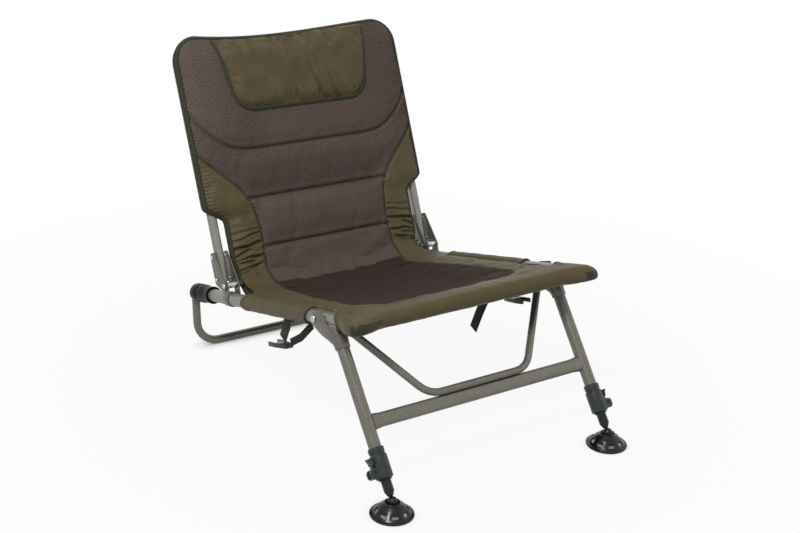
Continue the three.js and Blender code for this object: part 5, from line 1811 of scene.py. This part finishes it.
    def crease_headrest(self, head: bpy.types.Object) -> None:
        """Draws the creases that run down from the headrest's top hem and up from its foot.

        Args:
            head: The headrest, in the back's frame.
        """
        places = places_of(head)
        flat = places[:, [0, 2]]
        x, z = flat.T
        lift = 0.9 * ripple(flat * [1.0, 0.35], 26, 21.0)
        lift += sum(crease.lift(flat) for crease in self.creases)
        tuck = clamped((self.head_bottom + 40 - z) / 34)
        lift += self.head_tucks * np.sin(x / 2.1 + 2 * ripple(flat, 30, 23.0)) * tuck
        top = self.head_top - self.dip_at(x / self.half_width)
        hem = clamped((z - self.head_bottom - 3) / 12) * clamped((top - 1 - z) / 9)
        places[:, 1] -= np.where(normals_of(head)[:, 1] < -0.2, lift * hem, 0)
        move_to(head, places)

    def outline(self) -> np.ndarray:
        """Returns the pad's outline from foot to foot over the top."""
        left = [(self.half_at(z), z) for z in self.rows()]
        reach = left[-1][0]
        top = [(t * reach, self.top_height - self.dip_at(t)) for t in np.linspace(1, -1, 41)[1:-1]]
        return np.array([*left, *top, *((-x, z) for x, z in left[::-1])], float)

    @staticmethod
    def outward(line: np.ndarray) -> np.ndarray:
        """Returns the direction across a line at each of its points, to the right of its run."""
        away = np.gradient(line, axis=0)
        return unit_rows(np.stack([away[:, 1], -away[:, 0]], axis=1))

    def rim_tape(self) -> bpy.types.Object:
        """Returns the tape round the pad's edge."""
        line = self.outline()
        out = self.outward(line)
        faces = np.array([self.face_at(self.edge_share, min(z, self.top_height - 20)) for _, z in line])
        middle = line - 1.2 * out
        places = np.stack([middle[:, 0], 0.62 * self.edge_round - faces, middle[:, 1]], axis=1)
        normals = np.stack([out[:, 0] * 0.86, np.full(len(line), -0.5), out[:, 1] * 0.86], axis=1)
        return ribbon("back_rim_tape", places, normals, self.rim_tape_width, 1.4, sunk=2.4)

    def headrest_tape(self, pad_surface: Surface) -> bpy.types.Object:
        """Makes the tape round the headrest's sides and foot.

        Args:
            pad_surface: The pad's surface, which the tape follows.

        Returns:
            The tape, in the back's frame.
        """
        start = self.head_bottom + self.head_corner
        left = [(self.head_half(z) - 1.5, z) for z in np.linspace(self.head_top - 8, start, 22)]
        corner_x = self.head_half(start) - self.head_corner
        reach = self.head_corner - 1.5
        for a in np.linspace(0, math.pi / 2, 14)[1:]:
            left.append((corner_x + reach * math.cos(a), start - reach * math.sin(a)))
        bottom = [(t * left[-1][0], left[-1][1]) for t in np.linspace(1, -1, 30)[1:-1]]
        line = np.array([*left, *bottom, *((-x, z) for x, z in left[::-1])], float)
        over = np.array([(x, -90, z) for x, z in line * [0.985, 1.0]])
        base, _ = pad_surface.drop(over, smoothing=6)
        out = self.outward(line)
        out *= np.sign(np.sum(out * (line - [0, 420]), axis=1))[:, None]
        places = np.stack([line[:, 0] + out[:, 0], base[:, 1] - 2.6, line[:, 1] + out[:, 1]], axis=1)
        facing = np.stack([0.35 * out[:, 0], np.full(len(line), -0.94), 0.35 * out[:, 1]], axis=1)
        return ribbon("headrest_tape", places, facing, self.tape_width, 1.0, sunk=2.2)

    def build_bindings(self, pad: bpy.types.Object) -> None:
        """Lays the binding tapes: round the pad, along its side panels and round the headrest.

        Args:
            pad: The pad, in the back's frame.
        """
        pad_surface = Surface(pad, Vector((0, 1, 0)))
        tapes = [self.rim_tape()]
        for name, side in SIDES.items():
            seam = rounded_line(self.side_seam)
            over = np.array([(side * min(x, self.half_at(z) - 3), -90, z) for x, z in seam])
            tapes.append(ribbon(f"side_panel_tape_{name}", *pad_surface.drop(over), self.tape_width, 0.9))
        tapes.append(self.headrest_tape(pad_surface))
        for tape in tapes:
            self.fit(tape, self.book.binding, self.layout.backrest, "backrest", "olive_nylon")

    def fold_rings(self) -> np.ndarray:
        """Returns the rows of the cloth that runs from the seat's sling up to the pad."""
        to_seat = self.layout.seat.matrix().inverted() @ self.layout.backrest.matrix()
        seat = SeatCover(self.frame, self.book, self.layout)
        middle, height_at = self.fold_mid
        rings = []
        for t in np.linspace(0, 1, self.fold_rows):
            row = []
            for x in np.linspace(-self.fold_half, self.fold_half, self.fold_columns):
                face = self.face_at(x / self.half_at(self.fold_end), self.fold_end)
                places = (
                    (x, self.fold_start, seat.top(x, self.fold_start) + 0.6),
                    (x, middle, seat.top(x, height_at) - 1),
                    (x, -face - 0.8, self.fold_end),
                )
                low, mid, high = (Vector(np.array(place) * MM) for place in places)
                point = low * (1 - t) ** 2 + mid * 2 * t * (1 - t) + (to_seat @ high) * t**2
                row.append(np.array(point) / MM)
            rings.append(row)
        return np.array(rings)

    def build_fold(self) -> None:
        """Joins the seat's sling and the pad with one piece of cloth that bends at the hinge."""
        rings = self.fold_rings()
        run = run_along(rings[:, self.fold_columns // 2])
        weave = flat_weave(np.linspace(-self.fold_half, self.fold_half, self.fold_columns), run)
        fold = woven("seat_back_fold", rings, weave, round_trip=False, ends=False)
        apply_modifier(fold, "SUBSURF", levels=1, render_levels=1)
        apply_modifier(fold, "SOLIDIFY", thickness=FOLD_MM * MM, offset=-1.0)
        smooth(fold, 50)
        dress(fold, self.book.nylon, self.book.shaded_seat_mesh, self.book.mesh)
        along = fold.data.uv_layers["weave"].data
        half_run = max(spot.uv.y for spot in along) * 0.5
        for polygon in fold.data.polygons:
            rise = sum(along[k].uv.y for k in polygon.loop_indices) / polygon.loop_total
            # The fold's lower half takes the darker copy of the spacer mesh, painted shade; its upper half
            # takes the back's mesh.
            panel = 2 if rise > half_run else 1
            polygon.material_index = panel if abs(polygon.center.x / MM) < self.fold_mesh_half else 0
        tapes = [self.fold_tape(name, side, rings) for name, side in SIDES.items()]
        clear_selection()
        for piece in (*tapes, fold):
            piece.select_set(True)
        bpy.context.view_layer.objects.active = fold
        bpy.ops.object.join()
        place(fold, self.layout.seat)
        seat = self.layout.seat.matrix()
        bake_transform(fold)
        self.made.append(fold)
        LOG.info("%s bends from frame to backrest", fold.name)

    def fold_tape(self, name: str, side: int, rings: np.ndarray) -> bpy.types.Object:
        """Makes the length of side panel tape that runs over the fold.

        Args:
            name: The side's name.
            side: -1 on the right, 1 on the left.
            rings: The fold's rows of places, in the seat's frame.

        Returns:
            The tape, in the seat's frame.
        """
        line = []
        for k, row in enumerate(rings):
            x = side * mix(143.0, 147.5, k / (len(rings) - 1))
            line.append([x, np.interp(x, row[:, 0], row[:, 1]), np.interp(x, row[:, 0], row[:, 2])])
        line = np.array(line)
        run = np.gradient(line, axis=0)
        normals = unit_rows(np.stack([np.zeros(len(line)), -run[:, 2], run[:, 1]], axis=1))
        tape = ribbon(f"fold_tape_{name}", line, normals, self.tape_width, 0.9)
        dress(tape, self.book.binding)
        return tape


@dataclass
class Backrest(Assembly):
    """The back's bent tube with its hinge plates and bolts."""

    half_width: float = 232.0
    radius: float = 9.25
    wall: float = 1.4
    behind: float = 27.9
    start: float = 8.0
    top: float = 462.5
    corner: float = 40.0
    sag_share: float = 0.6
    sag_start: float = 430.0

    def build(self) -> None:
        """Makes the tube, whose top sags with the cover's hem, and dresses the hinge."""
        book, x, y = self.book, self.half_width, self.behind
        stops = [
            ((-x, y, self.start), 0),
            ((-x, y, self.top), self.corner),
            ((x, y, self.top), self.corner),
            ((x, y, self.start), 0),
        ]
        tube = bent_tube("back_tube", stops, self.radius, self.wall, sides=32, steps=14)
        places = places_of(tube)
        across = np.clip(places[:, 0] / BackPad.half_width, -1, 1)
        high = clamped((places[:, 2] - self.sag_start) / 20)
        places[:, 2] -= self.sag_share * BackPad.top_dip * (1 - across**2) * high
        move_to(tube, places)
        # The lighter paint here is partly the tube's own finish and partly painted light.
        self.fit(tube, book.bright_paint, self.layout.backrest, "backrest", "frame_paint", "back_frame_tube")
        self.copy_pairs(
            ("hinge_plate_inner", "backrest", "frame_paint", book.cast_paint, 0.6),
            ("hinge_plate_outer", "backrest", "frame_paint", book.cast_paint, 0.6),
            ("hinge_bolt", "backrest", "bolt_steel", book.steel),
            ("plate_bolt_low", "backrest", "bolt_steel", book.steel),
            ("plate_bolt_high", "backrest", "bolt_steel", book.steel),
            ("nut_cap", "backrest", "black_plastic", book.plastic, 0.8),
        )


@dataclass
class RearBar(Assembly):
    """The rear ground bar that slides in the rails, with its bushes and collars."""

    half_spacing: float = 235.0
    radius: float = 8.0
    wall: float = 1.4
    start: float = 304.0
    bend_place: float = 504.0
    ground_place: float = 524.0
    ground_drop: float = 109.0
    bend: float = 18.0
    ground_bend: float = 45.0

    def build(self) -> None:
        """Makes the bar and dresses its bushes and collars."""
        x = self.half_spacing
        stops = [
            ((-x, self.start, 0), 0),
            ((-x, self.bend_place, 0), self.bend),
            ((-x, self.ground_place, -self.ground_drop), self.ground_bend),
            ((x, self.ground_place, -self.ground_drop), self.ground_bend),
            ((x, self.bend_place, 0), self.bend),
            ((x, self.start, 0), 0),
        ]
        bar = bent_tube("rear_ground_bar", stops, self.radius, self.wall, sides=28, steps=12)
        self.fit(bar, self.book.paint, self.layout.seat, "rear_bar", "frame_paint", "rear_bar_tube")
        self.copy_pairs(
            ("rear_bar_bush", "rear_bar", "black_plastic", self.book.plastic),
            ("twist_collar", "twist_collar_", "black_plastic", self.book.rubbery, 0.5),
        )


@dataclass
class FrontLegs(Assembly):
    """The folding front legs with their brackets, crossbar, brace and cam clamps."""

    half_spacing: float = 235.0
    leg_ahead: float = 38.8
    leg_radius: float = 11.0
    leg_wall: float = 1.6
    leg_top: float = 36.0
    leg_bottom: float = 262.0

    def build(self) -> None:
        """Makes the leg tubes and dresses the rest."""
        book = self.book
        for name, side in SIDES.items():
            x = side * self.half_spacing
            stops = [((x, -self.leg_ahead, -self.leg_top), 0), ((x, -self.leg_ahead, -self.leg_bottom), 0)]
            leg = bent_tube(f"leg_outer_{name}", stops, self.leg_radius, self.leg_wall, sides=40)
            self.fit(leg, book.paint, self.layout.legs, "front_legs", "frame_paint", f"leg_tube_{name}")
        self.copy_pairs(
            ("leg_bracket", "front_legs", "frame_paint", book.cast_paint, 0.6),
            ("brace_bolt", "front_legs", "bolt_steel", book.steel),
            ("clamp_body", "front_legs", "black_plastic", book.plastic, 0.7),
            ("cam_lever", "cam_", "black_plastic", book.plastic, 0.6),
            ("cam_pin", "cam_", "bolt_steel", book.dark_steel),
        )
        self.copy_of("crossbar", "front_legs", "frame_paint", book.paint, 0.8)
        self.copy_of("brace", "front_legs", "frame_paint", book.paint, 0.3)


@dataclass
class Feet(Assembly):
    """The telescopic inner legs on their balls and mud feet."""

    def build(self) -> None:
        """Dresses both inner legs and both feet."""
        book = self.book
        self.copy_pairs(
            ("inner_leg", "inner_leg_", "black_plastic", book.leg_plastic, 0.8),
            ("stop_ring", "inner_leg_", "bolt_steel", book.dark_steel, 0.3),
            ("foot_ball", "foot_ball_", "black_plastic", book.foot_plastic, 0.0),
            ("mud_foot", "mud_foot_", "black_plastic", book.foot_plastic, 0.5),
        )


@dataclass
class TieStraps(Assembly):
    """The webbing straps and buckles that tie the folded chair."""

    def build(self) -> None:
        """Dresses the straps and buckles."""
        book = self.book
        self.copy_pairs(("tie_buckle", "frame", "black_plastic", book.plastic, 0.8))
        for node, slot, material in (
            ("tie_tab_right", "green_webbing", book.green_webbing),
            ("tie_tab_left", "black_webbing", book.webbing),
            ("tie_lead_right", "black_webbing", book.webbing),
            ("tie_tail_left", "black_webbing", book.webbing),
        ):
            self.map_strap(self.copy_of(node, "frame", slot, material, 0.3))

    def map_strap(self, strap: bpy.types.Object) -> None:
        """Gives a strap a weave map over its flat side, in metres.

        Args:
            strap: The strap, in its place.
        """
        layer = strap.data.uv_layers.get("weave") or strap.data.uv_layers.new(name="weave")
        inverse = self.layout.seat.matrix().inverted()
        for loop in strap.data.loops:
            spot = inverse @ strap.data.vertices[loop.vertex_index].co
            layer.data[loop.index].uv = (spot.y, spot.z)


def seen_directly(tree: bpy.types.NodeTree, *rays: str) -> Socket:
    """Returns 1 where the camera sees a thing, itself or by one of these kinds of ray."""
    path = add_node(tree, "ShaderNodeLightPath")
    seen = path.outputs["Is Camera Ray"]
    for ray in rays:
        either = {0: seen, 1: path.outputs[ray]}
        seen = add_node(tree, "ShaderNodeMath", either, operation="MAXIMUM").outputs[0]
    return seen


@dataclass(frozen=True)
class SoftBox:
    """A rectangular lamp: its place and size in metres, and its power in watts."""

    name: str
    spot: tuple[float, float, float]
    power: float
    size: tuple[float, float]


@dataclass(frozen=True)
class Studio:
    """A plain pale studio with the photograph's viewpoint."""

    focal_mm: float = 62.33
    eye: tuple[float, float, float] = (-1359.9, -2034.8, 437.3)
    right: tuple[float, float, float] = (0.8292, -0.5480, -0.1100)
    down: tuple[float, float, float] = (-0.1770, -0.0708, -0.9817)
    ahead: tuple[float, float, float] = (0.5302, 0.8335, -0.1557)
    floor_size: float = 60.0
    floor_colour: str = "c8c8c7"
    fade_reach: tuple[float, float] = (0.45, 1.3)
    nearest_white: float = 0.93
    contact_reach: float = 0.025
    sky: str = "f6f6f5"
    ambient: float = 0.3
    aim: tuple[float, float, float] = (0.0, 0.0, 0.3)
    lamps: tuple[SoftBox, ...] = (
        SoftBox("key_softbox", (-1.7, -1.1, 2.95), 70.0, (0.7, 0.5)),
        SoftBox("fill_softbox", (2.2, -1.4, 1.4), 4.0, (1.6, 1.6)),
        SoftBox("rim_softbox", (0.6, 2.4, 2.0), 6.0, (2.0, 0.8)),
    )

    def build(self, seat: Datum) -> None:
        """Makes the camera, the floor, the world and the lamps.

        Args:
            seat: The seat's frame, in which the viewpoint is given.
        """
        self.build_camera(seat)
        self.build_floor()
        self.build_world()
        self.build_lamps()

    def build_camera(self, seat: Datum) -> None:
        """Sets the camera at the photograph's viewpoint."""
        data = bpy.data.cameras.new("viewpoint")
        data.lens = self.focal_mm
        data.sensor_width = 36.0
        data.clip_end = 100.0
        camera = bpy.data.objects.new("viewpoint", data)
        bpy.context.scene.collection.objects.link(camera)
        turn = seat.matrix().to_3x3()
        columns = [turn @ Vector(self.right), turn @ -Vector(self.down), turn @ -Vector(self.ahead)]
        matrix = Matrix(columns).transposed().normalized().to_4x4()
        matrix.translation = seat.matrix() @ (Vector(self.eye) * MM)
        camera.matrix_world = matrix
        bpy.context.scene.camera = camera

    def build_floor(self) -> None:
        """Lays a pale floor that turns plain white away from the chair."""
        clear_selection()
        bpy.ops.mesh.primitive_plane_add(size=self.floor_size, location=(0, 0, 0))
        floor = bpy.context.object
        floor.name = "studio_floor"
        material = bpy.data.materials.new("studio_floor_paint")
        material.use_nodes = True
        tree = material.node_tree
        tree.nodes.clear()
        paint = add_node(tree, "ShaderNodeBsdfDiffuse", {"Color": linear(self.floor_colour)})
        white = add_node(tree, "ShaderNodeEmission", {"Color": (1, 1, 1, 1), "Strength": 1.0})
        spot = add_node(tree, "ShaderNodeTexCoord").outputs["Object"]
        reach = add_node(tree, "ShaderNodeVectorMath", {0: spot}, operation="LENGTH").outputs["Value"]
        near, far = self.fade_reach
        span = {"From Min": near, "From Max": far, "To Min": self.nearest_white, "To Max": 1.0}
        fade = add_node(tree, "ShaderNodeMapRange", {"Value": reach, **span})
        contact = add_node(tree, "ShaderNodeAmbientOcclusion", {"Distance": self.contact_reach})
        factor = fade.outputs["Result"]
        for other in (contact.outputs["AO"], seen_directly(tree, "Is Glossy Ray")):
            factor = add_node(tree, "ShaderNodeMath", {0: factor, 1: other}, operation="MULTIPLY").outputs[0]
        layers = {0: factor, 1: paint.outputs["BSDF"], 2: white.outputs["Emission"]}
        blend = add_node(tree, "ShaderNodeMixShader", layers)
        add_node(tree, "ShaderNodeOutputMaterial", {"Surface": blend.outputs["Shader"]})
        floor.data.materials.append(material)

    def build_world(self) -> None:
        """Lights the studio evenly and shows plain white behind the chair."""
        world = bpy.data.worlds.new("studio")
        bpy.context.scene.world = world
        world.use_nodes = True
        tree = world.node_tree
        tree.nodes.clear()
        seen = seen_directly(tree, "Is Transmission Ray", "Is Glossy Ray")
        light = add_node(tree, "ShaderNodeBackground", {"Color": linear(self.sky), "Strength": self.ambient})
        shown = add_node(tree, "ShaderNodeBackground", {"Color": (1, 1, 1, 1), "Strength": 1.0})
        layers = {0: seen, 1: light.outputs["Background"], 2: shown.outputs["Background"]}
        blend = add_node(tree, "ShaderNodeMixShader", layers)
        add_node(tree, "ShaderNodeOutputWorld", {"Surface": blend.outputs["Shader"]})

    def build_lamps(self) -> None:
        """Hangs the soft boxes."""
        for box in self.lamps:
            data = bpy.data.lights.new(box.name, "AREA")
            data.shape = "RECTANGLE"
            data.size, data.size_y = box.size
            data.energy = box.power
            lamp = bpy.data.objects.new(box.name, data)
            bpy.context.scene.collection.objects.link(lamp)
            lamp.location = box.spot
            aim = Vector(self.aim) - Vector(box.spot)
            lamp.rotation_euler = aim.to_track_quat("-Z", "Y").to_euler()


def main() -> None:
    """Builds the chair's looks in order and reports each piece."""
    logging.basicConfig(level=logging.INFO, format="%(name)s: %(message)s")
    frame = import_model()
    bpy.context.scene.view_settings.view_transform = "Standard"
    layout = Layout(frame["joints"])
    Studio().build(layout.seat)
    book = FinishBook()
    assemblies: list[Callable[..., Assembly]] = [
        SeatFrame,
        SeatCover,
        Backrest,
        BackPad,
        RearBar,
        FrontLegs,
        Feet,
        TieStraps,
    ]
    for make in assemblies:
        part = make(frame, book, layout)
        part.build()
        LOG.info("%s: %d pieces", make.__name__, len(part.made))
    clear_selection()


if __name__ == "__main__":
    main()
